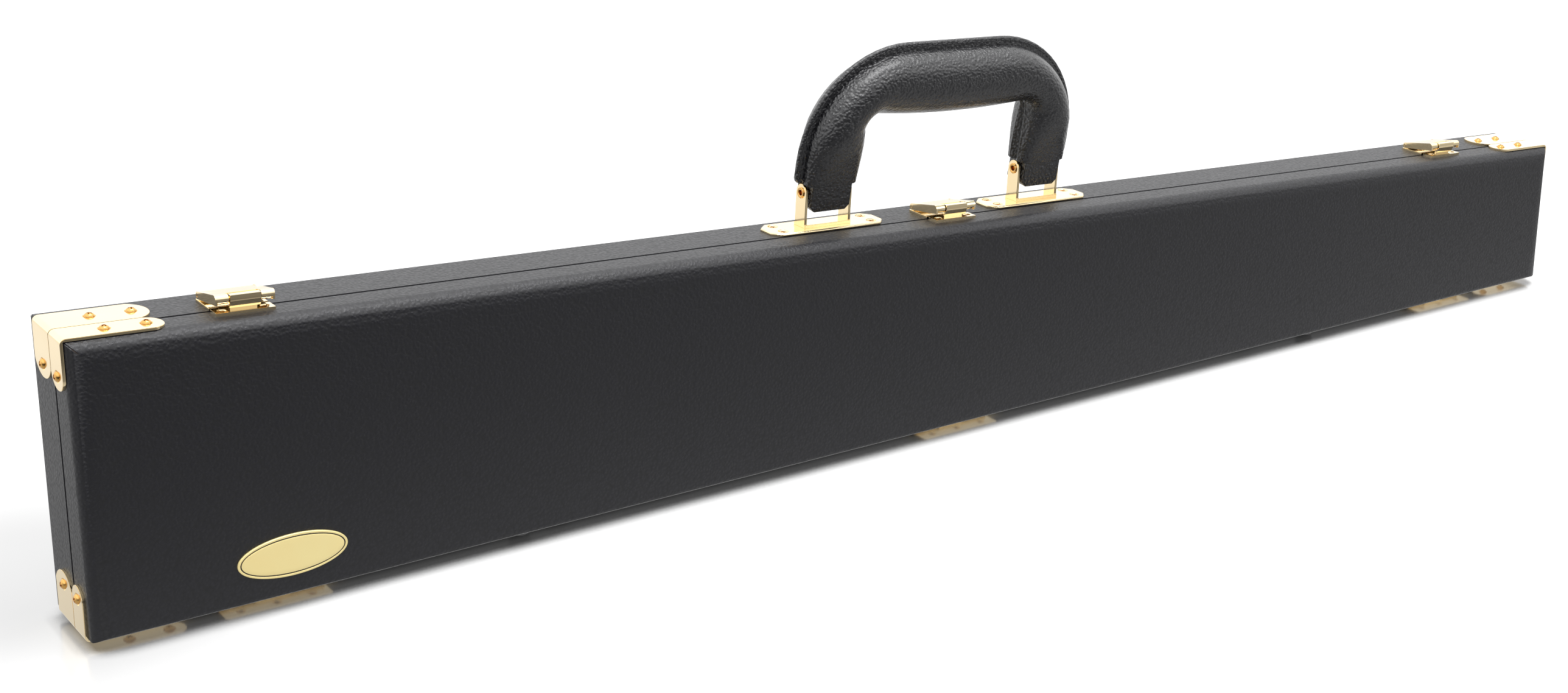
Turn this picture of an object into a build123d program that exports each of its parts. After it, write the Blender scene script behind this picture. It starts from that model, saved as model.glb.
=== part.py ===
from build123d import *
import os
from math import atan2, cos, degrees, radians, sin

# Cello bow case: a shallow wooden box covered in leatherette that tapers from the frog end (left)
# to the tip end (right). The rear half is the base and carries the latches and the handle; the
# front half is the lid and turns on three hinges under the bottom seam.
# Axes: +X towards the tip end, -Y towards the front of the lid, +Z up, floor at Z = 0.

os.makedirs("parts", exist_ok=True)

# Case body, in millimetres
CASE_LENGTH = 760.0
FROG_HEIGHT = 107.0
TIP_HEIGHT = 70.4
LID_DEPTH = 16.0
BASE_DEPTH = 22.0
SEAM_GAP = 0.6
LID_ROUND = 5.0
BASE_ROUND = 1.2
SKIN = 0.8
WALL = 4.0
FOOT_HEIGHT = 3.6
FOOT_RADIUS = 4.5
FOOT_TIP = 3.2
BASE_FOOT_FROM_END = 190.0
LID_FOOT_FROM_END = 165.0

# Badge on the lid
BADGE_LENGTH = 40.6
BADGE_HEIGHT = 15.8
BADGE_THICK = 1.0
BADGE_FROM_END = 71.0
BADGE_UP = 15.7

# Corner brackets
BRACKET_THICK = 1.0
BRACKET_LONG = 35.0
BRACKET_SHORT = 18.3
BRACKET_TIP = 5.0
BRACKET_BEND = 2.0
BRACKET_SETBACK = 5.3

# Hinges under the seam
HINGE_FROM_FROG = 68.0
HINGE_MIDDLE = -3.0
HINGE_FROM_TIP = 65.0
HINGE_LENGTH = 40.0
HINGE_LEAF = 1.0
HINGE_BASE_WIDTH = 13.0
HINGE_LID_WIDTH = 10.0
KNUCKLE_RADIUS = 1.5
KNUCKLE_COUNT = 3
KNUCKLE_PLAY = 0.3
HINGE_DROP = 2.0
LEAF_PLAY = 0.2
HINGE_PIN = 0.8
RUNNING_FIT = 0.05

# Latches across the top seam
LATCH_FROM_FROG = 63.5
LATCH_MIDDLE = -7.5
LATCH_FROM_TIP = 72.5
LATCH_NAMES = ("frog", "middle", "tip")
LATCH_WIDTH = 21.0
LATCH_PLATE = 0.9
LATCH_FRONT = 6.2
LATCH_REAR = 13.2
LATCH_WALL = 0.8
LATCH_PIN = 0.7
LATCH_REAR_PIVOT = (11.6, 2.5)
LATCH_FRONT_PIVOT = (-3.8, 5.1)
YOKE_REAR_RADIUS = 1.4
YOKE_FRONT_RADIUS = 1.7
YOKE_LIFT = 0.25
YOKE_ROOF_PLAY = 0.5
KNUCKLE_RELIEF = 0.1
YOKE_SIDE_PLAY = 0.3
TAB_WIDTH = 11.0
TAB_SIDE_PLAY = 0.3
TAB_PLATE = 0.8
TAB_NOSE = 0.8
KEEPER_RIB = 0.7
KEEPER_HEIGHT = 2.9
KEEPER_WIDTH = 9.6

# Handle and its fittings
HANDLE_X = -10.5
HANDLE_HALF_SPAN = 56.2
HANDLE_LEAN = 8.0
HANDLE_Y = 8.2
PIN_HEIGHT = 15.3
PLATE_LENGTH = 56.0
PLATE_WIDTH = 15.4
PLATE_THICK = 1.2
PLATE_CHAMFER = 4.0
EAR_SPAN = 23.0
EAR_WIDTH = 8.0
EAR_THICK = 1.2
EAR_TOP = 3.6
HANDLE_PIN = 1.5
PIN_PROUD = 0.5
GRIP_DEPTH = 23.6
LEG_OUTWARD = 12.0
LEG_INWARD = 12.6
LEG_END_DEPTH = 13.0
LEG_THIN_FROM = 28.0
GRIP_TOP = 57.9
GRIP_UNDER = 33.0
GRIP_BELLY = 1.0
GRIP_OUTER_RADIUS = 44.0
GRIP_INNER_RADIUS = 7.0
GRIP_SOFTNESS = 7.0
GRIP_END = 4.4
END_WIDTH = 19.4
END_DEPTH = 11.0
END_DROP = 7.0
END_CHAMFER = 2.0
WELT_OUT = 4.1
WELT_THICK = 2.6

# Inside: linings, rim, cradles for two bows and the clips that hold them
LINING = 1.5
RIM = 2.0
RIM_PLAY = 0.5
RIM_LIP = 4.0
LID_LINING_PLAY = 1.2
CRADLE_LENGTH = 26.0
FROG_CRADLE_FROM_END = 118.0
TIP_CRADLE_FROM_END = 80.0
CRADLE_BELOW_SEAM = 1.0
STICK_SLOT = 11.0
STICK_DEPTH = 12.0
SLOT_SHARE = 0.24
CLIP_LENGTH = 21.0
CLIP_WIDTH = 8.0
CLIP_THICK = 2.0
CLIP_PLAY = 0.3
CLIP_PIVOT = 1.5
CLIP_HEAD = 3.0
CLIP_HEAD_THICK = 1.2
CLIP_SPACING = 10.0

# Places worked out from the sizes above
CASE_DEPTH = LID_DEPTH + BASE_DEPTH
FRONT_Y = -(CASE_DEPTH - BADGE_THICK) / 2
SEAM_Y = FRONT_Y + LID_DEPTH
REAR_Y = FRONT_Y + CASE_DEPTH
LID_SEAM_Y = SEAM_Y - SEAM_GAP / 2
BASE_SEAM_Y = SEAM_Y + SEAM_GAP / 2
CAVITY = SKIN + WALL
SLOPE = atan2(TIP_HEIGHT - FROG_HEIGHT, CASE_LENGTH)
HALF_LENGTH = CASE_LENGTH / 2
GRIP_OUTER = HANDLE_HALF_SPAN + LEG_OUTWARD
GRIP_INNER = HANDLE_HALF_SPAN - LEG_INWARD
HINGE_X = (-HALF_LENGTH + HINGE_FROM_FROG, HINGE_MIDDLE, HALF_LENGTH - HINGE_FROM_TIP)
LATCH_X = (-HALF_LENGTH + LATCH_FROM_FROG, LATCH_MIDDLE, HALF_LENGTH - LATCH_FROM_TIP)
BADGE_X = -HALF_LENGTH + BADGE_FROM_END
FROG_CRADLE_X = -HALF_LENGTH + FROG_CRADLE_FROM_END
TIP_CRADLE_X = HALF_LENGTH - TIP_CRADLE_FROM_END


def top_height(x):
    """Height of the sloping top face above the floor at x."""
    share = (x + HALF_LENGTH) / CASE_LENGTH
    return FOOT_HEIGHT + FROG_HEIGHT + (TIP_HEIGHT - FROG_HEIGHT) * share


def top_plane(x, y, above=0.0):
    """Plane on the top face: its x follows the slope and its y points to the rear."""
    plane = Plane(
        origin=(x, y, top_height(x)),
        x_dir=(cos(SLOPE), 0, sin(SLOPE)),
        z_dir=(-sin(SLOPE), 0, cos(SLOPE)),
    )
    return plane.offset(above)


def side_plane(frame, x=0.0):
    """Plane across a fitting at x along it: drawn with rearwards as x and upwards as y."""
    return Plane(origin=frame.from_local_coords((x, 0, 0)), x_dir=frame.y_dir, z_dir=frame.x_dir)


def front_plane(y):
    """Plane at depth y, drawn with +X as x and +Z as y, that extrudes towards the front."""
    return Plane.XZ.offset(-y)


def outline(inset=0.0, x_low=-HALF_LENGTH, x_high=HALF_LENGTH):
    """Corners of the tapered case outline between two lengths, drawn in by inset."""
    left = max(x_low, -HALF_LENGTH + inset)
    right = min(x_high, HALF_LENGTH - inset)
    low = FOOT_HEIGHT + inset
    drop = inset / cos(SLOPE)
    return [(left, low), (right, low), (right, top_height(right) - drop), (left, top_height(left) - drop)]


def half_body(seam_y, face_y, inset, rounding):
    """Closed solid of one half, from its seam to its big face, with the face's edges rounded."""
    with BuildPart() as body:
        with BuildSketch(front_plane(seam_y)):
            with BuildLine():
                Polyline(*outline(inset), close=True)
            make_face()
        extrude(amount=seam_y - face_y)
        big_face = body.faces().filter_by(Axis.Y).sort_by(lambda f: abs(f.center().Y - face_y))[0]
        fillet(big_face.edges(), rounding)
    return body.part


def block(inset, from_y, to_y, x_low=-HALF_LENGTH, x_high=HALF_LENGTH):
    """Plain solid of the outline between two depths, from_y behind to_y."""
    with BuildPart() as solid:
        with BuildSketch(front_plane(from_y)):
            with BuildLine():
                Polyline(*outline(inset, x_low, x_high), close=True)
            make_face()
        extrude(amount=from_y - to_y)
    return solid.part


def finish(part, name):
    """Label a finished piece and write its file."""
    part.label = name
    export_step(part, f"parts/{name}.step")


# Corner brackets: an L of sheet brass on each corner of each half
BRACKET_FRONT = (LID_SEAM_Y, FRONT_Y + BRACKET_SETBACK)
BRACKET_REAR = (REAR_Y - BRACKET_SETBACK, BASE_SEAM_Y)


def corner_frame(end, side):
    """Corner point, the way along the long leg, its outward normal, and the short leg's pair."""
    x = end * HALF_LENGTH
    if side > 0:
        along = Vector(-end * cos(SLOPE), 0, -end * sin(SLOPE))
        normal = Vector(-sin(SLOPE), 0, cos(SLOPE))
        corner = Vector(x, 0, top_height(x))
    else:
        along = Vector(-end, 0, 0)
        normal = Vector(0, 0, -1)
        corner = Vector(x, 0, FOOT_HEIGHT)
    return corner, along, normal, Vector(0, 0, -side), Vector(end, 0, 0)


def leg_plane(corner, along, normal, distance, middle_y):
    """Plane on the case under a bracket's leg, with its x pointing away from the corner."""
    origin = corner + along * distance + Vector(0, middle_y, 0)
    return Plane(origin=origin, x_dir=along, z_dir=normal)


def bracket(end, side, span):
    """One corner bracket between two depths, with a bent corner and pointed round tips."""
    rear, front = span
    width = rear - front
    middle = (rear + front) / 2
    corner, along, normal, down, outward = corner_frame(end, side)
    outer_x = corner.X + outward.X * BRACKET_THICK
    outer_z = corner.Z + (BRACKET_THICK - outward.X * BRACKET_THICK * normal.X) / normal.Z
    long_tip = corner + along * BRACKET_LONG
    short_tip = corner + down * BRACKET_SHORT
    points = [corner, long_tip, long_tip + normal * BRACKET_THICK, Vector(outer_x, 0, outer_z),
              short_tip + outward * BRACKET_THICK, short_tip]
    with BuildPart() as body:
        with BuildSketch(front_plane(rear)):
            with BuildLine():
                Polyline(*[(p.X, p.Z) for p in points], close=True)
            make_face()
        extrude(amount=width)
        bend = body.edges().filter_by(Axis.Y).sort_by_distance((outer_x, middle, outer_z))[0]
        fillet(bend, BRACKET_BEND)
        for way, face_normal, length in ((along, normal, BRACKET_LONG), (down, outward, BRACKET_SHORT)):
            tip = leg_plane(corner, way, face_normal, length, middle)
            with BuildSketch(tip):
                with Locations((0, 0)):
                    Rectangle(2 * BRACKET_TIP, width + 2)
                with BuildLine():
                    Line((-BRACKET_TIP, -width / 2), (-BRACKET_TIP, width / 2))
                    ThreePointArc((-BRACKET_TIP, width / 2), (0, 0), (-BRACKET_TIP, -width / 2))
                make_face(mode=Mode.SUBTRACT)
            extrude(amount=2 * BRACKET_THICK, both=True, mode=Mode.SUBTRACT)
    return body.part


def bracket_set(span):
    """The four brackets of one half."""
    with BuildPart() as brackets:
        for end in (-1, 1):
            for side in (-1, 1):
                add(bracket(end, side, span))
    return brackets.part


lid_brackets = bracket_set(BRACKET_FRONT)
base_brackets = bracket_set(BRACKET_REAR)

# Hinges: two leaves with interleaved knuckles and a pin, under the seam
HINGE_Z = FOOT_HEIGHT - HINGE_DROP
KNUCKLE_PITCH = HINGE_LENGTH / KNUCKLE_COUNT
LEAF_START = KNUCKLE_RADIUS + LEAF_PLAY
LEAF_LAP = HINGE_LEAF / 2
LEAF_MIDDLE_Z = HINGE_Z + KNUCKLE_RADIUS - HINGE_LEAF / 2


def knuckle_middle(x, index):
    """Where one knuckle of the hinge at x is centred."""
    return x + (index - (KNUCKLE_COUNT - 1) / 2) * KNUCKLE_PITCH


def hinge_leaves(way, width, knuckles):
    """The leaves of one half with solid knuckles; way is +1 for the base and -1 for the lid."""
    with BuildPart() as leaves:
        for x in HINGE_X:
            with BuildSketch(Plane.XY.offset(FOOT_HEIGHT - HINGE_LEAF)) as leaf:
                with Locations((x, SEAM_Y + way * (LEAF_START + width) / 2)):
                    Rectangle(HINGE_LENGTH, width - LEAF_START)
                outer = leaf.vertices().group_by(Axis.Y)[-1 if way > 0 else 0]
                chamfer(outer, HINGE_LEAF)
            extrude(amount=HINGE_LEAF)
            for index in knuckles:
                with BuildSketch(Plane.YZ.offset(knuckle_middle(x, index))):
                    with Locations((SEAM_Y, HINGE_Z)):
                        Circle(KNUCKLE_RADIUS)
                    with Locations((SEAM_Y + way * (LEAF_START + LEAF_LAP) / 2, LEAF_MIDDLE_Z)):
                        Rectangle(LEAF_START + LEAF_LAP, HINGE_LEAF)
                extrude(amount=(KNUCKLE_PITCH - KNUCKLE_PLAY) / 2, both=True)
    return leaves.part


def hinge_bars(radius):
    """Bars on the hinges' axis: the pins, or what bores the knuckles that turn on them."""
    with BuildPart() as bars:
        for x in HINGE_X:
            with BuildSketch(Plane.YZ.offset(x)):
                with Locations((SEAM_Y, HINGE_Z)):
                    Circle(radius)
            extrude(amount=HINGE_LENGTH / 2 - KNUCKLE_PLAY, both=True)
    return bars.part


with BuildPart() as base_hinge_leaves:
    add(hinge_leaves(1, HINGE_BASE_WIDTH, (0, 2)))
    add(hinge_bars(HINGE_PIN))

with BuildPart() as lid_hinge_leaves:
    add(hinge_leaves(-1, HINGE_LID_WIDTH, (1,)))
    add(hinge_bars(HINGE_PIN + RUNNING_FIT), mode=Mode.SUBTRACT)

# Latches: a plate with a rear knuckle on the base, a yoke that swings on it, a tab hinged between
# the yoke's two front barrels, and a keeper plate on the lid whose rib the tab's nose bears on


def latch_top(y):
    """Height of the yoke's upper face over the case at y from the seam."""
    rear_y = LATCH_REAR_PIVOT[0]
    rear_z = LATCH_REAR_PIVOT[1] + YOKE_REAR_RADIUS
    front_y = LATCH_FRONT_PIVOT[0]
    front_z = LATCH_FRONT_PIVOT[1] + YOKE_FRONT_RADIUS
    return rear_z + (front_z - rear_z) * (rear_y - max(y, front_y)) / (rear_y - front_y)


def round_bar(plane, centre, radius, half_length):
    """Round bar along a fitting's x, centred on the plane."""
    with BuildPart() as bar:
        with BuildSketch(plane):
            with Locations(centre):
                Circle(radius)
        extrude(amount=half_length, both=True)
    return bar.part


def latch_plate(frame, y_low, y_high):
    """Flat plate of a latch between two distances from the seam."""
    with BuildPart() as plate:
        with BuildSketch(frame):
            with Locations((0, (y_low + y_high) / 2)):
                Rectangle(LATCH_WIDTH, y_high - y_low)
        extrude(amount=LATCH_PLATE)
    return plate.part


LATCH_PLATE_START = 0.6
LATCH_INNER = LATCH_WIDTH / 2 - LATCH_WALL


def latch_base(frame):
    """Plate on the base with a knuckle whose pin ends carry the yoke."""
    rear_y, rear_z = LATCH_REAR_PIVOT
    knuckle = YOKE_REAR_RADIUS - KNUCKLE_RELIEF
    with BuildPart() as body:
        add(latch_plate(frame, LATCH_PLATE_START, LATCH_REAR))
        with BuildSketch(side_plane(frame)):
            with Locations(LATCH_REAR_PIVOT):
                Circle(knuckle)
            with Locations((rear_y, rear_z / 2)):
                Rectangle(2 * knuckle, rear_z)
        extrude(amount=LATCH_INNER - YOKE_SIDE_PLAY, both=True)
        add(round_bar(side_plane(frame), LATCH_REAR_PIVOT, LATCH_PIN, LATCH_WIDTH / 2))
    return body.part


def latch_keeper(frame):
    """Plate on the lid with the upright rib that the tab pulls on."""
    rib_y = LATCH_FRONT_PIVOT[0]
    with BuildPart() as body:
        add(latch_plate(frame, -LATCH_FRONT, -LATCH_PLATE_START))
        with BuildSketch(frame):
            with Locations((0, rib_y + KEEPER_RIB / 2)):
                Rectangle(KEEPER_WIDTH, KEEPER_RIB)
        extrude(amount=KEEPER_HEIGHT)
    return body.part


def latch_yoke(frame):
    """Folded cover with two side walls that rise to the front, and two barrels with a pin there."""
    rear_y, rear_z = LATCH_REAR_PIVOT
    front_y, front_z = LATCH_FRONT_PIVOT
    low = LATCH_PLATE + YOKE_LIFT
    nose_y = front_y - YOKE_FRONT_RADIUS
    roof_end = rear_y - YOKE_REAR_RADIUS - YOKE_ROOF_PLAY
    barrel_inner = TAB_WIDTH / 2 + TAB_SIDE_PLAY
    barrel_length = (LATCH_WIDTH / 2 - barrel_inner) / 2
    bend = cos(radians(45)) * YOKE_FRONT_RADIUS
    with BuildPart() as body:
        with BuildSketch(side_plane(frame)):
            with BuildLine():
                Line((nose_y, front_z - YOKE_FRONT_RADIUS), (rear_y, low))
                ThreePointArc(
                    (rear_y, low), (rear_y + YOKE_REAR_RADIUS, rear_z), (rear_y, rear_z + YOKE_REAR_RADIUS)
                )
                Line((rear_y, rear_z + YOKE_REAR_RADIUS), (front_y, front_z + YOKE_FRONT_RADIUS))
                ThreePointArc(
                    (front_y, front_z + YOKE_FRONT_RADIUS), (front_y - bend, front_z + bend), (nose_y, front_z)
                )
                Line((nose_y, front_z), (nose_y, front_z - YOKE_FRONT_RADIUS))
            make_face()
        extrude(amount=LATCH_WIDTH / 2, both=True)
        with BuildSketch(side_plane(frame)):
            with BuildLine():
                Polyline(
                    (nose_y - 1, 0),
                    (nose_y - 1, latch_top(front_y) - LATCH_WALL),
                    (front_y, latch_top(front_y) - LATCH_WALL),
                    (roof_end, latch_top(roof_end) - LATCH_WALL),
                    (roof_end, latch_top(front_y) + 1),
                    (LATCH_REAR + 1, latch_top(front_y) + 1),
                    (LATCH_REAR + 1, 0),
                    close=True,
                )
            make_face()
        extrude(amount=LATCH_INNER, both=True, mode=Mode.SUBTRACT)
        for side in (-1, 1):
            barrel_plane = side_plane(frame, side * (barrel_inner + barrel_length))
            add(round_bar(barrel_plane, LATCH_FRONT_PIVOT, YOKE_FRONT_RADIUS, barrel_length))
        notch_end = front_y + YOKE_FRONT_RADIUS + YOKE_ROOF_PLAY
        with BuildSketch(frame):
            with Locations((0, (nose_y - 1 + notch_end) / 2)):
                Rectangle(2 * barrel_inner, notch_end - nose_y + 1)
        extrude(amount=latch_top(front_y) + 1, mode=Mode.SUBTRACT)
        add(round_bar(side_plane(frame), LATCH_FRONT_PIVOT, LATCH_PIN, LATCH_WIDTH / 2))
        rear_bore = round_bar(side_plane(frame), LATCH_REAR_PIVOT, LATCH_PIN + RUNNING_FIT, LATCH_WIDTH)
        add(rear_bore, mode=Mode.SUBTRACT)
    return body.part


def latch_tab(frame):
    """Thumb tab: a knuckle on the front pin, a flat face and a nose that reaches the keeper's rib."""
    front_y, front_z = LATCH_FRONT_PIVOT
    knuckle = YOKE_FRONT_RADIUS - KNUCKLE_RELIEF
    face_y = front_y - knuckle - TAB_PLATE / 2
    low = LATCH_PLATE + 2 * YOKE_LIFT
    reach = front_y - YOKE_SIDE_PLAY
    with BuildPart() as body:
        with BuildSketch(side_plane(frame)):
            with Locations(LATCH_FRONT_PIVOT):
                Circle(knuckle)
            with BuildLine():
                Polyline(
                    (face_y, low), (reach, low), (reach, low + TAB_NOSE), (face_y + TAB_PLATE, low + TAB_NOSE),
                    (face_y + TAB_PLATE, front_z), (front_y, front_z), (front_y, front_z + knuckle),
                    (face_y, front_z + knuckle),
                    close=True,
                )
            make_face()
            with Locations(LATCH_FRONT_PIVOT):
                Circle(LATCH_PIN + RUNNING_FIT, mode=Mode.SUBTRACT)
        extrude(amount=TAB_WIDTH / 2, both=True)
    return body.part


latch_frames = [top_plane(x, SEAM_Y) for x in LATCH_X]


# Handle fittings: a plate and a U-shaped strap with two ears at each end of the handle
handle_frame = top_plane(HANDLE_X, SEAM_Y + HANDLE_Y)
fitting_frames = [top_plane(HANDLE_X + side * HANDLE_HALF_SPAN * cos(SLOPE), SEAM_Y + HANDLE_Y) for side in (-1, 1)]


def handle_plate(frame):
    """Flat plate with clipped corners."""
    with BuildPart() as body:
        with BuildSketch(frame) as face:
            Rectangle(PLATE_LENGTH, PLATE_WIDTH)
            chamfer(face.vertices(), PLATE_CHAMFER)
        extrude(amount=PLATE_THICK)
        top_face = body.faces().sort_by_distance(frame.from_local_coords((0, 0, PLATE_THICK)))[0]
        chamfer(top_face.edges(), PLATE_THICK / 3)
    return body.part


def handle_strap(frame):
    """Strap bent up into two round-topped ears that hold the handle's pin."""
    with BuildPart() as body:
        with BuildSketch(side_plane(frame)):
            with Locations((0, PIN_HEIGHT)):
                Circle(EAR_TOP)
            with Locations((0, (PIN_HEIGHT + PLATE_THICK) / 2)):
                Rectangle(2 * EAR_TOP, PIN_HEIGHT - PLATE_THICK)
            with Locations((0, PLATE_THICK + EAR_THICK / 2)):
                Rectangle(EAR_WIDTH, EAR_THICK)
        extrude(amount=EAR_SPAN / 2, both=True)
        with BuildSketch(frame.offset(PLATE_THICK + EAR_THICK)):
            Rectangle(EAR_SPAN - 2 * EAR_THICK, EAR_WIDTH + 2)
        extrude(amount=PIN_HEIGHT + EAR_TOP, mode=Mode.SUBTRACT)
        add(round_bar(side_plane(frame), (0, PIN_HEIGHT), HANDLE_PIN, EAR_SPAN), mode=Mode.SUBTRACT)
    return body.part


with BuildPart() as handle_pins:
    for fitting_frame in fitting_frames:
        add(round_bar(side_plane(fitting_frame), (0, PIN_HEIGHT), HANDLE_PIN, EAR_SPAN / 2 + PIN_PROUD))

# Handle: a padded grip whose legs thin towards their ends, slimmer wrapped ends and a stitched welt
# on its outside. It leans slightly to the front, drawn in its own plane through the pins' axis.
pin_axis_point = handle_frame.from_local_coords((0, 0, PIN_HEIGHT))
handle_normal = handle_frame.y_dir.rotate(Axis((0, 0, 0), handle_frame.x_dir), HANDLE_LEAN)
handle_plane = Plane(origin=pin_axis_point, x_dir=handle_frame.x_dir, z_dir=-handle_normal)
grip_side_plane = Plane(origin=pin_axis_point, x_dir=handle_plane.z_dir, z_dir=-handle_plane.x_dir)


def grip_outer_line(grow=0.0):
    """Outer side of the handle, from the bottom of one leg over to the other."""
    half = GRIP_OUTER + grow
    radius = GRIP_OUTER_RADIUS + grow
    return FilletPolyline(
        (-half, GRIP_END), (-half, GRIP_TOP + grow), (half, GRIP_TOP + grow), (half, GRIP_END), radius=radius
    )


with BuildPart() as handle_grip:
    with BuildSketch(handle_plane) as grip_shape:
        with BuildLine():
            outer_line = grip_outer_line()
            Line(outer_line @ 1, (GRIP_INNER, GRIP_END))
            Line((GRIP_INNER, GRIP_END), (GRIP_INNER, GRIP_UNDER))
            ThreePointArc((GRIP_INNER, GRIP_UNDER), (0, GRIP_UNDER - GRIP_BELLY), (-GRIP_INNER, GRIP_UNDER))
            Line((-GRIP_INNER, GRIP_UNDER), (-GRIP_INNER, GRIP_END))
            Line((-GRIP_INNER, GRIP_END), outer_line @ 0)
        make_face()
        corners = grip_shape.vertices().filter_by_position(Axis.Y, GRIP_UNDER - GRIP_BELLY, GRIP_UNDER + GRIP_BELLY)
        fillet(corners, GRIP_INNER_RADIUS)
    extrude(amount=GRIP_DEPTH / 2, both=True)
    long_edges = [
        edge
        for face in handle_grip.faces().filter_by(handle_plane)
        for edge in face.edges()
        if handle_plane.to_local_coords(edge @ 0.5).Y > GRIP_END + RUNNING_FIT
    ]
    chamfer(long_edges, GRIP_SOFTNESS)
    with BuildSketch(grip_side_plane):
        with BuildLine():
            Polyline(
                (-LEG_END_DEPTH / 2, GRIP_END),
                (-GRIP_DEPTH / 2, LEG_THIN_FROM),
                (-GRIP_DEPTH / 2, GRIP_TOP),
                (GRIP_DEPTH / 2, GRIP_TOP),
                (GRIP_DEPTH / 2, LEG_THIN_FROM),
                (LEG_END_DEPTH / 2, GRIP_END),
                close=True,
            )
        make_face()
    extrude(amount=GRIP_OUTER, both=True, mode=Mode.INTERSECT)

with BuildPart() as handle_welt:
    with BuildSketch(handle_plane):
        with BuildLine():
            outside = grip_outer_line(WELT_OUT)
            inside = grip_outer_line()
            Line(outside @ 0, inside @ 0)
            Line(outside @ 1, inside @ 1)
        make_face()
    extrude(amount=WELT_THICK / 2, both=True)

with BuildPart() as handle_ends:
    for side in (-1, 1):
        with BuildSketch(handle_plane.offset(-END_DEPTH / 2)) as end_shape:
            with Locations((side * HANDLE_HALF_SPAN, (GRIP_END - END_DROP) / 2)):
                Rectangle(END_WIDTH, GRIP_END + END_DROP)
            chamfer(end_shape.vertices().group_by(Axis.Y)[0], END_CHAMFER)
        extrude(amount=END_DEPTH)
    for fitting_frame in fitting_frames:
        bore = round_bar(side_plane(fitting_frame), (0, PIN_HEIGHT), HANDLE_PIN + RUNNING_FIT, END_WIDTH)
        add(bore, mode=Mode.SUBTRACT)


# Shells of the two halves: a wooden box and the leatherette glued over it
def cover(seam_y, face_y, skin_face_y, rounding):
    """Leatherette over one half, open at the seam."""
    with BuildPart() as body:
        add(half_body(seam_y, face_y, 0.0, rounding))
        add(half_body(seam_y, skin_face_y, SKIN, rounding - SKIN), mode=Mode.SUBTRACT)
    return body.part


def shell(seam_y, skin_face_y, floor_y, rounding):
    """Wooden box of one half, open at the seam."""
    with BuildPart() as body:
        add(half_body(seam_y, skin_face_y, SKIN, rounding - SKIN))
        add(block(CAVITY, max(seam_y, floor_y), min(seam_y, floor_y)), mode=Mode.SUBTRACT)
    return body.part


base_floor_y = REAR_Y - CAVITY
lid_floor_y = FRONT_Y + CAVITY
base_cover = cover(BASE_SEAM_Y, REAR_Y, REAR_Y - SKIN, BASE_ROUND)
base_shell = shell(BASE_SEAM_Y, REAR_Y - SKIN, base_floor_y, BASE_ROUND)
lid_cover = cover(LID_SEAM_Y, FRONT_Y, FRONT_Y + SKIN, LID_ROUND)
lid_shell = shell(LID_SEAM_Y, FRONT_Y + SKIN, lid_floor_y, LID_ROUND)

# Inside: a rim with a lip that enters the lid, a pad on the base's floor and a tray in the lid
base_pad_y = base_floor_y - LINING
with BuildPart() as base_rim:
    add(block(CAVITY, base_floor_y, BASE_SEAM_Y))
    add(block(CAVITY + RIM_PLAY, BASE_SEAM_Y, SEAM_Y - RIM_LIP))
    add(block(CAVITY + RIM, base_floor_y, SEAM_Y - RIM_LIP), mode=Mode.SUBTRACT)

base_lining = block(CAVITY + RIM, base_floor_y, base_pad_y)

lid_tray_y = SEAM_Y - RIM_LIP - LID_LINING_PLAY
with BuildPart() as lid_lining:
    add(block(CAVITY, lid_tray_y, lid_floor_y))
    add(block(CAVITY + LINING, lid_tray_y, lid_floor_y + LINING), mode=Mode.SUBTRACT)

# Cradles: padded blocks across the base with a slot for each of the two bows
CRADLE_FRONT_Y = SEAM_Y + CRADLE_BELOW_SEAM
CRADLE_LOW = FOOT_HEIGHT + CAVITY + RIM


def slot_heights(x):
    """Heights of the two bows' sticks at x."""
    span = top_height(x) - (CAVITY + RIM) / cos(SLOPE) - CRADLE_LOW
    return [CRADLE_LOW + share * span for share in (SLOT_SHARE, 1 - SLOT_SHARE)]


def cradle(x):
    """Block at x with its two slots open to the front, their mouths eased."""
    with BuildPart() as body:
        add(block(CAVITY + RIM, base_pad_y, CRADLE_FRONT_Y, x - CRADLE_LENGTH / 2, x + CRADLE_LENGTH / 2))
        for height in slot_heights(x):
            with BuildSketch(Plane.YZ.offset(x)):
                with Locations((CRADLE_FRONT_Y + STICK_DEPTH - STICK_SLOT / 2, height)):
                    Circle(STICK_SLOT / 2)
                with Locations((CRADLE_FRONT_Y + (STICK_DEPTH - STICK_SLOT / 2) / 2, height)):
                    Rectangle(STICK_DEPTH - STICK_SLOT / 2, STICK_SLOT)
            extrude(amount=CRADLE_LENGTH, both=True, mode=Mode.SUBTRACT)
    return body.part


frog_cradle = cradle(FROG_CRADLE_X)

# Turning clips on the tip cradle, one over each bow, on screws between the slots
clip_middle = sum(slot_heights(TIP_CRADLE_X)) / 2
clip_pivots = {"lower": clip_middle - CLIP_SPACING / 2, "upper": clip_middle + CLIP_SPACING / 2}
CLIP_BACK_Y = CRADLE_FRONT_Y - CLIP_PLAY
CLIP_FRONT_Y = CLIP_BACK_Y - CLIP_THICK

with BuildPart() as clip_posts:
    for pivot_z in clip_pivots.values():
        with BuildSketch(front_plane(CRADLE_FRONT_Y)):
            with Locations((TIP_CRADLE_X, pivot_z)):
                Circle(CLIP_PIVOT)
        extrude(amount=CRADLE_FRONT_Y - CLIP_FRONT_Y + CLIP_PLAY)
        with BuildSketch(front_plane(CLIP_FRONT_Y - CLIP_PLAY)):
            with Locations((TIP_CRADLE_X, pivot_z)):
                Circle(CLIP_HEAD)
        extrude(amount=CLIP_HEAD_THICK)

tip_cradle = cradle(TIP_CRADLE_X)


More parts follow.
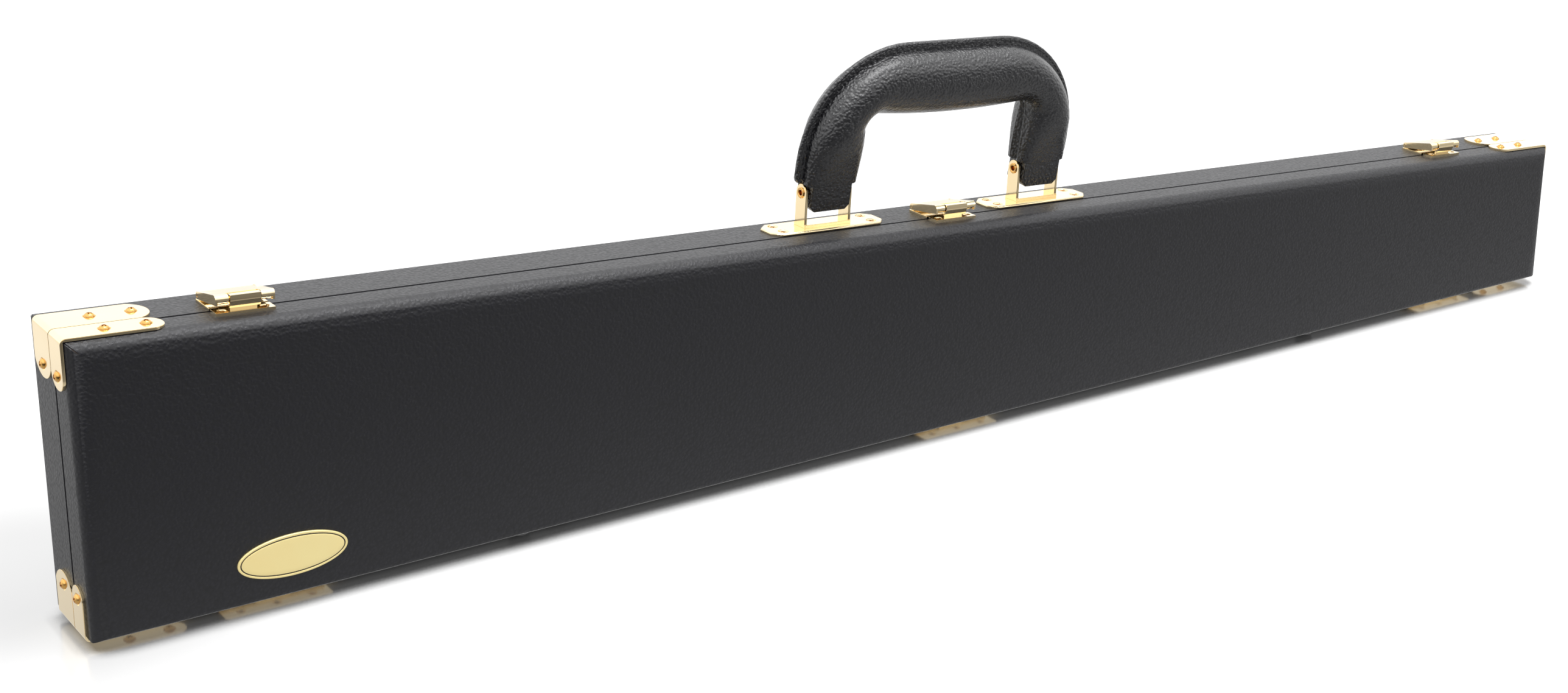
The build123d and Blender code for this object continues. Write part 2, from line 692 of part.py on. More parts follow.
def bow_clip(name):
    """Flat clip that turns on its post; it reaches over its bow at rest."""
    way = 1 if name == "upper" else -1
    overhang = CLIP_WIDTH / 2
    with BuildPart() as body:
        with BuildSketch(front_plane(CLIP_BACK_Y)):
            with Locations((TIP_CRADLE_X, clip_pivots[name] + way * (CLIP_LENGTH / 2 - overhang))):
                SlotOverall(CLIP_LENGTH, CLIP_WIDTH, rotation=90)
            with Locations((TIP_CRADLE_X, clip_pivots[name])):
                Circle(CLIP_PIVOT + RUNNING_FIT, mode=Mode.SUBTRACT)
        extrude(amount=CLIP_THICK)
    return body.part


# Feet and badge
def feet(x_offset, y):
    """A pair of low feet under one half, narrower at the floor."""
    with BuildPart() as body:
        with Locations((-x_offset, y, FOOT_HEIGHT / 2), (x_offset, y, FOOT_HEIGHT / 2)):
            Cone(bottom_radius=FOOT_TIP, top_radius=FOOT_RADIUS, height=FOOT_HEIGHT)
    return body.part


base_feet = feet(HALF_LENGTH - BASE_FOOT_FROM_END, (SEAM_Y + REAR_Y) / 2)
lid_feet = feet(HALF_LENGTH - LID_FOOT_FROM_END, (SEAM_Y + FRONT_Y + LID_ROUND) / 2)

badge_centre = (BADGE_X, FOOT_HEIGHT + BADGE_UP)
with BuildPart() as badge_plate:
    with BuildSketch(front_plane(FRONT_Y)):
        with Locations(badge_centre):
            Ellipse(BADGE_LENGTH / 2, BADGE_HEIGHT / 2)
    extrude(amount=BADGE_THICK)

# Write every piece
pieces = {
    "base_shell": base_shell,
    "base_cover": base_cover,
    "base_lining": base_lining,
    "base_rim": base_rim.part,
    "base_corner_brackets": base_brackets,
    "base_hinge_leaves": base_hinge_leaves.part,
    "base_feet": base_feet,
    "handle_plate_frog": handle_plate(fitting_frames[0]),
    "handle_plate_tip": handle_plate(fitting_frames[1]),
    "handle_strap_frog": handle_strap(fitting_frames[0]),
    "handle_strap_tip": handle_strap(fitting_frames[1]),
    "handle_pins": handle_pins.part,
    "frog_cradle": frog_cradle,
    "tip_cradle": tip_cradle,
    "clip_posts": clip_posts.part,
    "bow_clip_upper": bow_clip("upper"),
    "bow_clip_lower": bow_clip("lower"),
    "lid_shell": lid_shell,
    "lid_cover": lid_cover,
    "lid_lining": lid_lining.part,
    "lid_corner_brackets": lid_brackets,
    "lid_hinge_leaves": lid_hinge_leaves.part,
    "lid_feet": lid_feet,
    "badge_plate": badge_plate.part,
    "handle_grip": handle_grip.part,
    "handle_welt": handle_welt.part,
    "handle_ends": handle_ends.part,
}
for latch_name, latch_frame in zip(LATCH_NAMES, latch_frames):
    pieces[f"latch_base_{latch_name}"] = latch_base(latch_frame)
    pieces[f"latch_keeper_{latch_name}"] = latch_keeper(latch_frame)
    pieces[f"latch_yoke_{latch_name}"] = latch_yoke(latch_frame)
    pieces[f"latch_tab_{latch_name}"] = latch_tab(latch_frame)

for piece_name, piece in pieces.items():
    finish(piece, piece_name)

print("pieces", len(pieces))
print("hinge axis y, z", round(SEAM_Y, 3), round(HINGE_Z, 3))
print("handle pin axis point", [round(v, 3) for v in pin_axis_point])
print("slope in degrees", round(degrees(SLOPE), 4))
for latch_name, latch_frame in zip(LATCH_NAMES, latch_frames):
    for joint, (pivot_y, pivot_z) in (("rear", LATCH_REAR_PIVOT), ("front", LATCH_FRONT_PIVOT)):
        point = latch_frame.from_local_coords((0, pivot_y, pivot_z))
        print("latch", latch_name, joint, [round(v, 3) for v in point])
print("clip pivots", TIP_CRADLE_X, round(CLIP_BACK_Y, 3), {k: round(v, 3) for k, v in clip_pivots.items()})
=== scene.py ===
# %% [markdown]
# # A slim case for cello bows
# The real case is a shallow wooden box, 76 cm long, covered in black grained leather. It is taller at
# the end where the bows' frogs lie. The CAD model gives every rigid piece its place; this lesson
# dresses those pieces with soft edges, screws, leather, brass and velvet, and lights them.
# %% Load the frame
from math import atan2, cos, pi, radians, sin
from random import Random

import bmesh
import bpy
from mathutils import Matrix, Vector


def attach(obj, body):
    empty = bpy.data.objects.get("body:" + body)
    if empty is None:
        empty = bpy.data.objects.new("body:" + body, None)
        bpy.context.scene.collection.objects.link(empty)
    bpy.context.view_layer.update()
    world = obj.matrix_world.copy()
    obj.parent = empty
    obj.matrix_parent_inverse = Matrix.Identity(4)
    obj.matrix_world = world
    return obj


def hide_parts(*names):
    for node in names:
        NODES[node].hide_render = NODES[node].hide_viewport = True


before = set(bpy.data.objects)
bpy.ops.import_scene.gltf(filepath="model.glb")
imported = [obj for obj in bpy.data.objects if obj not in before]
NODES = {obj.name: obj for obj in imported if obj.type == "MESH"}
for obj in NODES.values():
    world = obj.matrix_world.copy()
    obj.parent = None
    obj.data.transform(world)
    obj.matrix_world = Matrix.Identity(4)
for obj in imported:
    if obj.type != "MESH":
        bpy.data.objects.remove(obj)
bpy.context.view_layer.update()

# %% [markdown]
# ## The case's own sizes
# Pieces that are added here, such as screws, need the same places as the CAD pieces that carry them.
# The top face slopes, so a small frame is worked out on it wherever a fitting stands. Sizes are in
# millimetres, as a maker would say them, and each finished mesh is scaled to metres once.
# %% Sizes and frames on the case
MM = 0.001
HALF_LENGTH = 380.0
FROG_HEIGHT = 107.0
TIP_HEIGHT = 70.4
FOOT_HEIGHT = 3.6
FRONT_Y = -18.5
SEAM_Y = -2.5
REAR_Y = 19.5
SLOPE = atan2(TIP_HEIGHT - FROG_HEIGHT, 2 * HALF_LENGTH)
ALONG = Vector((cos(SLOPE), 0, sin(SLOPE)))
UPWARD = Vector((-sin(SLOPE), 0, cos(SLOPE)))


def top_height(x):
    """Height of the sloping top at x."""
    share = (x + HALF_LENGTH) / (2 * HALF_LENGTH)
    return FOOT_HEIGHT + FROG_HEIGHT + (TIP_HEIGHT - FROG_HEIGHT) * share


def frame_at(origin, x_axis, z_axis):
    """Placing matrix with its origin and two of its axes given."""
    x_axis = Vector(x_axis).normalized()
    z_axis = Vector(z_axis).normalized()
    y_axis = z_axis.cross(x_axis)
    matrix = Matrix((x_axis, y_axis, z_axis)).transposed().to_4x4()
    matrix.translation = Vector(origin)
    return matrix


def top_frame(x, y):
    """Placing matrix on the top face, its x along the slope and its y to the rear."""
    return frame_at((x, y, top_height(x)), ALONG, UPWARD)


print("slope of the top in degrees:", round(SLOPE * 180 / pi, 3))

# %% [markdown]
# ## Turning meshes into pieces
# Every piece is built in bmesh, which keeps the work in plain lists of points and faces. A piece
# must ride on a body of the CAD model, and says which CAD solid it stands for, so that the model
# moves as one when a lid or latch opens.
# %% Pieces and soft edges
SMOOTH_ANGLE = radians(38)
EDGE_ANGLE = radians(30)
CLEAN_ANGLE = radians(0.4)
CLEAN_GAP = 2e-6


def make_piece(name, mesh_work, material, body, stands_for=()):
    """Turns a bmesh into an object that rides on a body."""
    mesh = bpy.data.meshes.new(name)
    mesh_work.to_mesh(mesh)
    mesh_work.free()
    if "custom_normal" in mesh.attributes:
        mesh.attributes.remove(mesh.attributes["custom_normal"])
    mesh.transform(Matrix.Scale(MM, 4))
    mesh.shade_smooth()
    mesh.set_sharp_from_angle(angle=SMOOTH_ANGLE)
    mesh.materials.clear()
    mesh.materials.append(material)
    piece = bpy.data.objects.new(name, mesh)
    bpy.context.scene.collection.objects.link(piece)
    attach(piece, body)
    if stands_for:
        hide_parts(*stands_for)
    print(f"{name}: {len(mesh.polygons)} faces, rides on {body}")
    return piece


def from_node(node):
    """A CAD node's mesh as a clean bmesh, in millimetres, with flat faces whole again."""
    work = bmesh.new()
    work.from_mesh(NODES[node].data)
    bmesh.ops.remove_doubles(work, verts=work.verts, dist=CLEAN_GAP)
    bmesh.ops.dissolve_limit(work, angle_limit=CLEAN_ANGLE, verts=work.verts, edges=work.edges)
    bmesh.ops.transform(work, matrix=Matrix.Scale(1 / MM, 4), verts=work.verts)
    return work


def soften(work, width, steps=2):
    """Rounds every sharp edge, as filing and polishing do."""
    edges = [
        edge for edge in work.edges
        if len(edge.link_faces) == 2 and edge.calc_face_angle(0) > EDGE_ANGLE
    ]
    bmesh.ops.bevel(work, geom=edges, offset=width, segments=steps, affect="EDGES", clamp_overlap=True)
    return work


# %% [markdown]
# ## Cutting, copying, turning and skinning
# Four ways of making are needed here, and each is a short function. A boolean cuts holes and recesses,
# because their rims then lie exactly in the brass. One screw or stitch is made well and then copied.
# Round things are turned from a profile, as on a lathe. The grip and the badge are skins over rings,
# which keeps every ring under control where a modifier would guess.
# %% Cutting and copying
def cut_away(work, cutter):
    """Takes one bmesh out of another with an exact boolean."""
    solids = []
    for label, source in (("cut_target", work), ("cut_tool", cutter)):
        mesh = bpy.data.meshes.new(label)
        source.to_mesh(mesh)
        source.free()
        solids.append(bpy.data.objects.new(label, mesh))
        bpy.context.scene.collection.objects.link(solids[-1])
    boolean = solids[0].modifiers.new("cut", "BOOLEAN")
    boolean.operation = "DIFFERENCE"
    boolean.solver = "EXACT"
    boolean.object = solids[1]
    view = bpy.context.evaluated_depsgraph_get()
    result = bmesh.new()
    result.from_mesh(solids[0].evaluated_get(view).to_mesh())
    solids[0].evaluated_get(view).to_mesh_clear()
    for solid in solids:
        mesh = solid.data
        bpy.data.objects.remove(solid)
        bpy.data.meshes.remove(mesh)
    return result


def copies(template, matrices):
    """One bmesh with the template at each matrix; the template is used up."""
    mesh = bpy.data.meshes.new("template")
    template.to_mesh(mesh)
    template.free()
    work = bmesh.new()
    for matrix in matrices:
        before = len(work.verts)
        work.from_mesh(mesh)
        work.verts.ensure_lookup_table()
        bmesh.ops.transform(work, matrix=matrix, verts=work.verts[before:])
    bpy.data.meshes.remove(mesh)
    return work


# %% Turning and skinning
def lathe(profile, steps):
    """Closed turned solid from (radius, height) points that start and end on the axis."""
    work = bmesh.new()
    rings = []
    for radius, height in profile:
        if radius == 0:
            rings.append([work.verts.new((0, 0, height))])
        else:
            turns = [2 * pi * i / steps for i in range(steps)]
            rings.append([work.verts.new((radius * cos(a), radius * sin(a), height)) for a in turns])
    for low, high in zip(rings, rings[1:]):
        for i in range(steps):
            j = (i + 1) % steps
            corners = [low[i % len(low)], low[j % len(low)], high[j % len(high)], high[i % len(high)]]
            face = list(dict.fromkeys(corners))
            if len(face) > 2:
                work.faces.new(face)
    bmesh.ops.recalc_face_normals(work, faces=work.faces)
    return work


def loft(rings, closed_ends=True):
    """Skin over rings of the same number of points."""
    work = bmesh.new()
    layers = [[work.verts.new(point) for point in ring] for ring in rings]
    count = len(layers[0])
    for low, high in zip(layers, layers[1:]):
        for i in range(count):
            work.faces.new((low[i], low[(i + 1) % count], high[(i + 1) % count], high[i]))
    if closed_ends:
        work.faces.new(list(reversed(layers[0])))
        work.faces.new(layers[-1])
    bmesh.ops.recalc_face_normals(work, faces=work.faces)
    return work


# %% [markdown]
# ## Shader helpers
# Materials here are made of nodes, so their grain and wear follow the surface at any distance. Nodes
# could be placed one by one in the editor, but short helpers make each material read as a list of
# steps. The first adds a node: a plain value is set on its input, and a socket is joined to it.
# %% Node helpers
def add_node(tree, kind, values=None, **settings):
    """Adds a node, sets its options, and sets its inputs or joins them to sockets."""
    node = tree.nodes.new(kind)
    for key, value in settings.items():
        setattr(node, key, value)
    for key, value in (values or {}).items():
        if isinstance(value, bpy.types.NodeSocket):
            join(tree, value, node.inputs[key])
        else:
            node.inputs[key].default_value = value
    return node


def join(tree, source, target):
    """Joins an output socket to an input socket."""
    tree.links.new(source, target)


def new_group(name, inputs, outputs):
    """Empty shader group with named float inputs and outputs."""
    group = bpy.data.node_groups.new(name, "ShaderNodeTree")
    for label, value in inputs.items():
        socket = group.interface.new_socket(label, in_out="INPUT", socket_type="NodeSocketFloat")
        socket.default_value = value
    for label in outputs:
        group.interface.new_socket(label, in_out="OUTPUT", socket_type="NodeSocketFloat")
    return group, group.nodes.new("NodeGroupInput"), group.nodes.new("NodeGroupOutput")


def new_material(name, **shader_values):
    """Material with one Principled shader whose plain values are given."""
    material = bpy.data.materials.new(name)
    material.use_nodes = True
    shader = material.node_tree.nodes["Principled BSDF"]
    for key, value in shader_values.items():
        shader.inputs[key.replace("_", " ")].default_value = value
    return material, material.node_tree, shader


def use_group(tree, group, **values):
    """Places a shader group with its own values."""
    labelled = {key.replace("_", " "): value for key, value in values.items()}
    return add_node(tree, "ShaderNodeGroup", labelled, node_tree=group)


# %% Sums of sockets
def ramp(tree, socket, start, stop, low, high, shape="LINEAR"):
    """A value mapped from one range to another, as a socket."""
    values = {"Value": socket, "From Min": start, "From Max": stop, "To Min": low, "To Max": high}
    return add_node(tree, "ShaderNodeMapRange", values, interpolation_type=shape).outputs["Result"]


def between(tree, factor, low, high):
    """Map of a 0 to 1 mask onto a range, as a socket."""
    return ramp(tree, factor, 0.0, 1.0, low, high)


def combined(tree, operation, first, second):
    """Two values put together by a Math node's operation, as a socket."""
    return add_node(tree, "ShaderNodeMath", {0: first, 1: second}, operation=operation).outputs[0]


def own_place(tree, stretch=None):
    """The piece's own coordinates, drawn out along some axes where a stretch is given."""
    place = add_node(tree, "ShaderNodeTexCoord").outputs["Object"]
    if stretch is None:
        return place
    return add_node(tree, "ShaderNodeMapping", {"Vector": place, "Scale": stretch}).outputs["Vector"]


def noise(tree, stretch=None, **values):
    """Noise in the piece's own coordinates, so that it moves with the piece, as a socket."""
    values["Vector"] = own_place(tree, stretch)
    return add_node(tree, "ShaderNodeTexNoise", values).outputs["Fac"]


def switched(tree, factor, first, second):
    """One of two shaders, chosen by a mask, as a socket."""
    return add_node(tree, "ShaderNodeMixShader", {"Fac": factor, 1: first, 2: second}).outputs[0]


def tint(tree, factor, dark, pale):
    """Mix of two colours by a mask, as a socket."""
    values = {"Factor": factor, "A": (*dark, 1), "B": (*pale, 1)}
    return add_node(tree, "ShaderNodeMix", values, data_type="RGBA").outputs["Result"]


def bump(tree, height, depth):
    """Normal that is pressed in by a 0 to 1 height and a depth in metres, as a socket."""
    values = {"Height": height, "Strength": 1.0, "Distance": depth}
    return add_node(tree, "ShaderNodeBump", values).outputs["Normal"]


def finish(tree, shader, colour, roughness, normal):
    """Joins what a finish works out to its shader."""
    join(tree, colour, shader.inputs["Base Color"])
    join(tree, roughness, shader.inputs["Roughness"])
    join(tree, normal, shader.inputs["Normal"])


# %% [markdown]
# ## Grain, scratches and pile
# Three surface effects come back in several finishes: the pebbled grain of pressed leather, the fine
# hairlines of polished metal, and the short pile of velvet. Each is a group with its own values.
# Leather grain is cells with domed middles, as rollers press them. A plain noise would look like
# stone, so the cells come from a Voronoi texture whose places are nudged by a little noise.
# %% Leather grain group
leather_grain, grain_in, grain_out = new_group(
    "Leather grain", {"Cells per metre": 900.0, "Creases": 0.35}, ("Height", "Hollows")
)
cells = grain_in.outputs["Cells per metre"]
place = own_place(leather_grain)
drift = add_node(leather_grain, "ShaderNodeTexNoise", {"Vector": place, "Scale": 260.0, "Detail": 2.0})
push = {0: drift.outputs["Color"], "Scale": 0.0011}
nudge = add_node(leather_grain, "ShaderNodeVectorMath", push, operation="SCALE").outputs[0]
moved = add_node(leather_grain, "ShaderNodeVectorMath", {0: place, 1: nudge}, operation="ADD").outputs[0]
pebble = {"Vector": moved, "Scale": cells, "Randomness": 0.9}
pebbles = add_node(leather_grain, "ShaderNodeTexVoronoi", pebble, feature="SMOOTH_F1")
fine = combined(leather_grain, "MULTIPLY", cells, 2.3)
crease = {"Vector": moved, "Scale": fine, "Detail": 3.0, "Roughness": 0.6}
creases = add_node(leather_grain, "ShaderNodeTexNoise", crease)
domes = ramp(leather_grain, pebbles.outputs["Distance"], 0.1, 0.75, 1.0, 0.0)
crease_part = combined(leather_grain, "MULTIPLY", creases.outputs["Fac"], grain_in.outputs["Creases"])
join(leather_grain, combined(leather_grain, "ADD", domes, crease_part), grain_out.inputs["Height"])
join(leather_grain, combined(leather_grain, "SUBTRACT", 1.0, domes), grain_out.inputs["Hollows"])
print("leather grain nodes:", len(leather_grain.nodes))

# %% [markdown]
# Brass that has been polished by hand keeps fine lines along the piece and soft patches where the
# cloth rubbed longer. Velvet has tufts, and broad strokes where a hand brushed it. Noise drawn out
# along one axis gives the lines; the tufts and strokes are the same noise at two scales.
# %% Hairline and velvet groups
hairlines, hair_in, hair_out = new_group(
    "Polishing hairlines", {"Lines per metre": 900.0}, ("Lines", "Patches")
)
spacing = hair_in.outputs["Lines per metre"]
lines = noise(hairlines, (0.06, 1.0, 1.0), Scale=spacing, Detail=4.0, Roughness=0.7)
join(hairlines, lines, hair_out.inputs["Lines"])
join(hairlines, noise(hairlines, Scale=70.0, Detail=3.0), hair_out.inputs["Patches"])

velvet_pile, pile_in, pile_out = new_group("Velvet pile", {"Tufts per metre": 3200.0}, ("Pile", "Brushed"))
tufts = noise(velvet_pile, Scale=pile_in.outputs["Tufts per metre"], Detail=2.0)
strokes = noise(velvet_pile, Scale=22.0, Detail=3.0, Distortion=0.8)
join(velvet_pile, tufts, pile_out.inputs["Pile"])
join(velvet_pile, strokes, pile_out.inputs["Brushed"])
print("shader groups:", len(bpy.data.node_groups))

# %% [markdown]
# ## The leathers
# The cover is black leather with a pressed pebble grain and a dull shine. The handle is the same
# black, but dressed with wax: it is glossier, and its grain is deeper. Both could be one colour with
# a bump, but here the grain is made darker in its hollows and shinier on its pebbles, so the mask of
# the hollows drives colour and roughness as well.
# %% Leathers
def leather(name, dark, pale, cells, depth, rough_low, rough_high, creases_share, shine):
    """Black leather: darker in the hollows, shinier on the pebbles."""
    material, tree, shader = new_material(name, Specular_IOR_Level=shine)
    grain = use_group(tree, leather_grain, Cells_per_metre=cells, Creases=creases_share)
    hollows = grain.outputs["Hollows"]
    finish(
        tree, shader, tint(tree, hollows, pale, dark), between(tree, hollows, rough_low, rough_high),
        bump(tree, grain.outputs["Height"], depth),
    )
    return material


CASE_LEATHER = leather(
    "Cover leather", dark=(0.002, 0.002, 0.003), pale=(0.005, 0.005, 0.0075), cells=900, depth=0.00014,
    rough_low=0.42, rough_high=0.58, creases_share=0.35, shine=0.58,
)
GRIP_LEATHER = leather(
    "Grip leather", dark=(0.002, 0.002, 0.003), pale=(0.004, 0.004, 0.006), cells=900, depth=0.0004,
    rough_low=0.26, rough_high=0.4, creases_share=0.3, shine=0.7,
)
grip_shader = GRIP_LEATHER.node_tree.nodes["Principled BSDF"]
grip_shader.inputs["Coat Weight"].default_value = 0.3
grip_shader.inputs["Coat Roughness"].default_value = 0.2

# %% [markdown]
# ## The metals
# The brackets, latches and plates are brass polished almost to a mirror. The screws are a browner
# brass. The badge is a satin sheet whose lacquer keeps it pale, so it is only half metallic. Patches
# vary the colour a little, and the hairlines vary the gloss; without them a mirror looks drawn.
# %% Metals
def metal(name, dark, pale, rough_low, rough_high, scratch_depth, metallic=1.0):
    """Polished metal with hairlines and slightly uneven colour."""
    material, tree, shader = new_material(name, Metallic=metallic)
    marks = use_group(tree, hairlines, Lines_per_metre=900)
    lines = marks.outputs["Lines"]
    finish(
        tree, shader, tint(tree, marks.outputs["Patches"], dark, pale),
        between(tree, lines, rough_low, rough_high), bump(tree, lines, scratch_depth),
    )
    return material


BRASS = metal("Polished brass", (0.92, 0.73, 0.43), (0.95, 0.79, 0.51), 0.07, 0.15, 0.000002)
SCREW_BRASS = metal("Screw brass", (0.55, 0.3, 0.08), (0.72, 0.43, 0.15), 0.1, 0.2, 0.000003)
BADGE_BRASS = metal("Badge brass", (1.0, 0.8, 0.36), (1.0, 0.86, 0.42), 0.3, 0.42, 0.000004, 0.5)
STEEL = metal("Blued steel", (0.16, 0.15, 0.15), (0.3, 0.29, 0.29), 0.2, 0.35, 0.000004)

# %% [markdown]
# ## Velvet, wood and the small plain finishes
# The lining is short velvet: its colour changes with the way it was stroked, and sheen gives the pale
# bloom at its edges. The box is stained board with streaks along it. Rubber feet, waxed thread,
# enamel and plastic clips share one function, because each is one noise seen at its own scale.
# %% Velvet
def velvet(name, dark, pale, sheen):
    """Short pile that is darker where it has been stroked the other way."""
    material, tree, shader = new_material(
        name, Roughness=0.95, Sheen_Weight=sheen, Sheen_Roughness=0.4, Specular_IOR_Level=0.15
    )
    pile = use_group(tree, velvet_pile, Tufts_per_metre=3200)
    join(tree, tint(tree, pile.outputs["Brushed"], dark, pale), shader.inputs["Base Color"])
    join(tree, bump(tree, pile.outputs["Pile"], 0.00022), shader.inputs["Normal"])
    return material


LINING = velvet("Lining velvet", (0.035, 0.004, 0.008), (0.11, 0.012, 0.022), 0.35)
PAD_VELVET = velvet("Cradle velvet", (0.03, 0.004, 0.007), (0.09, 0.011, 0.019), 0.3)


# %% Small plain finishes and wood
def plain(name, dark, pale, rough_low, rough_high, scale, depth):
    """Simple grained finish for small plain pieces: one noise drives colour, gloss and bump."""
    material, tree, shader = new_material(name)
    grain = noise(tree, Scale=scale, Detail=4.0)
    finish(
        tree, shader, tint(tree, grain, dark, pale), between(tree, grain, rough_low, rough_high),
        bump(tree, grain, depth),
    )
    return material


RUBBER = plain("Foot rubber", (0.008, 0.008, 0.008), (0.02, 0.02, 0.02), 0.55, 0.75, 900, 0.00004)
THREAD = plain("Waxed thread", (0.008, 0.008, 0.009), (0.03, 0.03, 0.032), 0.4, 0.6, 2500, 0.00005)
ENAMEL = plain("Black enamel", (0.01, 0.008, 0.007), (0.02, 0.016, 0.012), 0.2, 0.3, 300, 0.000005)
CLIP_BLACK = plain("Clip plastic", (0.012, 0.012, 0.013), (0.022, 0.022, 0.024), 0.3, 0.45, 500, 0.00001)


def stained_wood():
    """Dark stained board: long streaks along the case."""
    material, tree, shader = new_material("Stained wood", Specular_IOR_Level=0.35)
    grain = noise(tree, (0.05, 1.0, 1.0), Scale=420.0, Detail=5.0, Distortion=0.4)
    finish(
        tree, shader, tint(tree, grain, (0.012, 0.008, 0.006), (0.05, 0.032, 0.022)),
        between(tree, grain, 0.6, 0.45), bump(tree, grain, 0.00008),
    )
    return material


WOOD = stained_wood()
print("materials:", len(bpy.data.materials))

# %% [markdown]
# ## Screws
# Every screw on the real case has a cross recess. Those in the corner brackets have domed heads that
# stand up and catch the light; the others are countersunk and lie a little below the brass. A disc
# with a painted cross would pass from afar, but not near, so the head is turned as a lathe would turn
# it and the cross is cut with a boolean, once; every screw is a copy. The brass keeps a cup round it.
# %% Screw and countersink shapes
HEAD_SINK = 0.16
HEAD_GAP = 0.2
HEAD_CROWN = 0.38
DOME_FOOT = -0.2
HEAD_UNDERSIDE = -0.95
SCREW_HEAD = 2.1
SMALL_SCREW_HEAD = 1.6
DOME_RISE = 1.25
SCREW_STEPS = 32


def cross_bars(radius, height):
    """The two tapered bars of the cross that a screwdriver fits."""
    bars = []
    for turn in (0, pi / 2):
        rings = []
        for reach, half, z in ((0.3, 0.09, height - 0.75 * radius), (0.62, 0.15, height + 0.6)):
            a = reach * radius
            b = half * radius
            ring = ((a, b), (-a, b), (-a, -b), (a, -b))
            spin = [(x * cos(turn) - y * sin(turn), x * sin(turn) + y * cos(turn), z) for x, y in ring]
            rings.append(spin)
        bars.append(loft(rings))
    return bars


def screw_head(radius, dome=0.0):
    """Head with a cross recess: nearly flat and countersunk, or raised as a dome."""
    rim = radius - HEAD_GAP
    crown = dome if dome else -HEAD_SINK
    foot = DOME_FOOT if dome else -HEAD_SINK - HEAD_CROWN
    profile = [(0, crown)]
    for turn in (18, 36, 54, 72, 90):
        profile.append((rim * sin(radians(turn)), foot + (crown - foot) * cos(radians(turn))))
    profile += [(0.5 * rim, HEAD_UNDERSIDE), (0, HEAD_UNDERSIDE)]
    work = lathe(profile, SCREW_STEPS)
    for bar in cross_bars(radius, crown):
        work = cut_away(work, bar)
    return work


def countersinks(matrices, radius):
    """Steep cups that leave a dark ring round the screws' heads."""
    profile = [
        (0, 0.3), (radius + 0.1, 0.3), (radius, -0.3), (radius * 0.8, -0.7), (radius * 0.5, -1.6), (0, -1.6),
    ]
    return copies(lathe(profile, SCREW_STEPS), matrices)


# %% [markdown]
# ## Where the screws go
# The brackets have two screws on the long leg and one on the short leg, the plates four or two.
# Places typed in for each of some seventy screws would soon be wrong, so a small frame is worked out
# for each from the sizes of what it holds, standing on the outside of its piece of brass.
# %% Screw places
BRACKET_THICK = 1.0
BRACKET_SETBACK = 5.3
SEAM_HALF = 0.3
UPPER_WIDER = 1.4
BRACKET_MIDDLES = {
    "lid": (FRONT_Y + BRACKET_SETBACK + SEAM_Y - SEAM_HALF) / 2,
    "base": (REAR_Y - BRACKET_SETBACK + SEAM_Y + SEAM_HALF) / 2,
}
LONG_LEG_SCREWS = (15.3, 29.2)
SHORT_LEG_SCREWS = (13.4,)


def bracket_screws(half):
    """Frames of the screws in one half's four brackets."""
    frames = []
    for end in (-1, 1):
        for side in (-1, 1):
            widened = half == "lid" and side > 0
            middle_y = BRACKET_MIDDLES[half] - (UPPER_WIDER / 2 if widened else 0)
            z = top_height(end * HALF_LENGTH) if side > 0 else FOOT_HEIGHT
            along = -end * ALONG if side > 0 else Vector((-end, 0, 0))
            normal = UPWARD if side > 0 else Vector((0, 0, -1))
            corner = Vector((end * HALF_LENGTH, middle_y, z))
            long_leg = (along, normal, LONG_LEG_SCREWS)
            short_leg = (Vector((0, 0, -side)), Vector((end, 0, 0)), SHORT_LEG_SCREWS)
            for way, outward, distances in (long_leg, short_leg):
                for distance in distances:
                    spot = corner + way * distance + outward * BRACKET_THICK
                    frames.append(frame_at(spot, way, outward))
    return frames


HINGE_X = (-312.0, -3.0, 315.0)
HINGE_SCREW_STEP = 13.3
LEAF_THICK = 1.0
LEAF_START = 1.7
HINGE_WIDTHS = {"base": 13.0, "lid": -10.0}


def hinge_screws(width):
    """Frames of three screws in each leaf, looking down out of the leaf."""
    y = SEAM_Y + (width + (LEAF_START if width > 0 else -LEAF_START)) / 2
    z = FOOT_HEIGHT - LEAF_THICK
    spots = [(x + step * HINGE_SCREW_STEP, y, z) for x in HINGE_X for step in (-1, 0, 1)]
    return [frame_at(spot, (1, 0, 0), (0, 0, -1)) for spot in spots]


LATCH_X = {"frog": -316.5, "middle": -7.5, "tip": 307.5}
LATCH_PLATE = 0.9
HANDLE_X = -10.5
HANDLE_Y = SEAM_Y + 8.2
HANDLE_HALF_SPAN = 56.2
PLATE_THICK = 1.2
PLATE_SCREWS = [(x, y) for x in (-22.0, 22.0) for y in (-3.9, 3.9)]


def handle_fitting(end):
    """Frame on the top face under one end of the handle."""
    return top_frame(HANDLE_X + end * HANDLE_HALF_SPAN * cos(SLOPE), HANDLE_Y)


def around(fitting, spots, above):
    """Frames at spots around a fitting's own frame, raised by its thickness."""
    return [fitting @ Matrix.Translation((u, v, above)) for u, v in spots]


def add_screws(name, body, matrices, radius, dome=0.0):
    """A group of screws that rides on a body."""
    turner = Random(name)
    spun = [matrix @ Matrix.Rotation(turner.uniform(0, pi), 4, "Z") for matrix in matrices]
    return make_piece(name, copies(screw_head(radius, dome), spun), SCREW_BRASS, body)


# %% [markdown]
# ## Leather over the two halves
# The CAD covers already have the rounded edges of the big faces. On the real lid, stuffing under the
# leather makes that round fuller than a filed one, so its points are drawn down over the front face.
# The edges at the seam are turned in softly, where the leather is folded over the rim of the box. A
# sculpted or simulated skin would give the same look for far more points. The boxes themselves get
# dark stained wood, which shows when the lid is open.
# %% Covers and boxes
LID_ROUND = 5.0
ROUND_INWARD = 1.12
ROUND_DOWNWARD = 1.56
ROUND_AT_FOOT = 0.5
NEARLY = 0.05
ARC_SLACK = 0.12


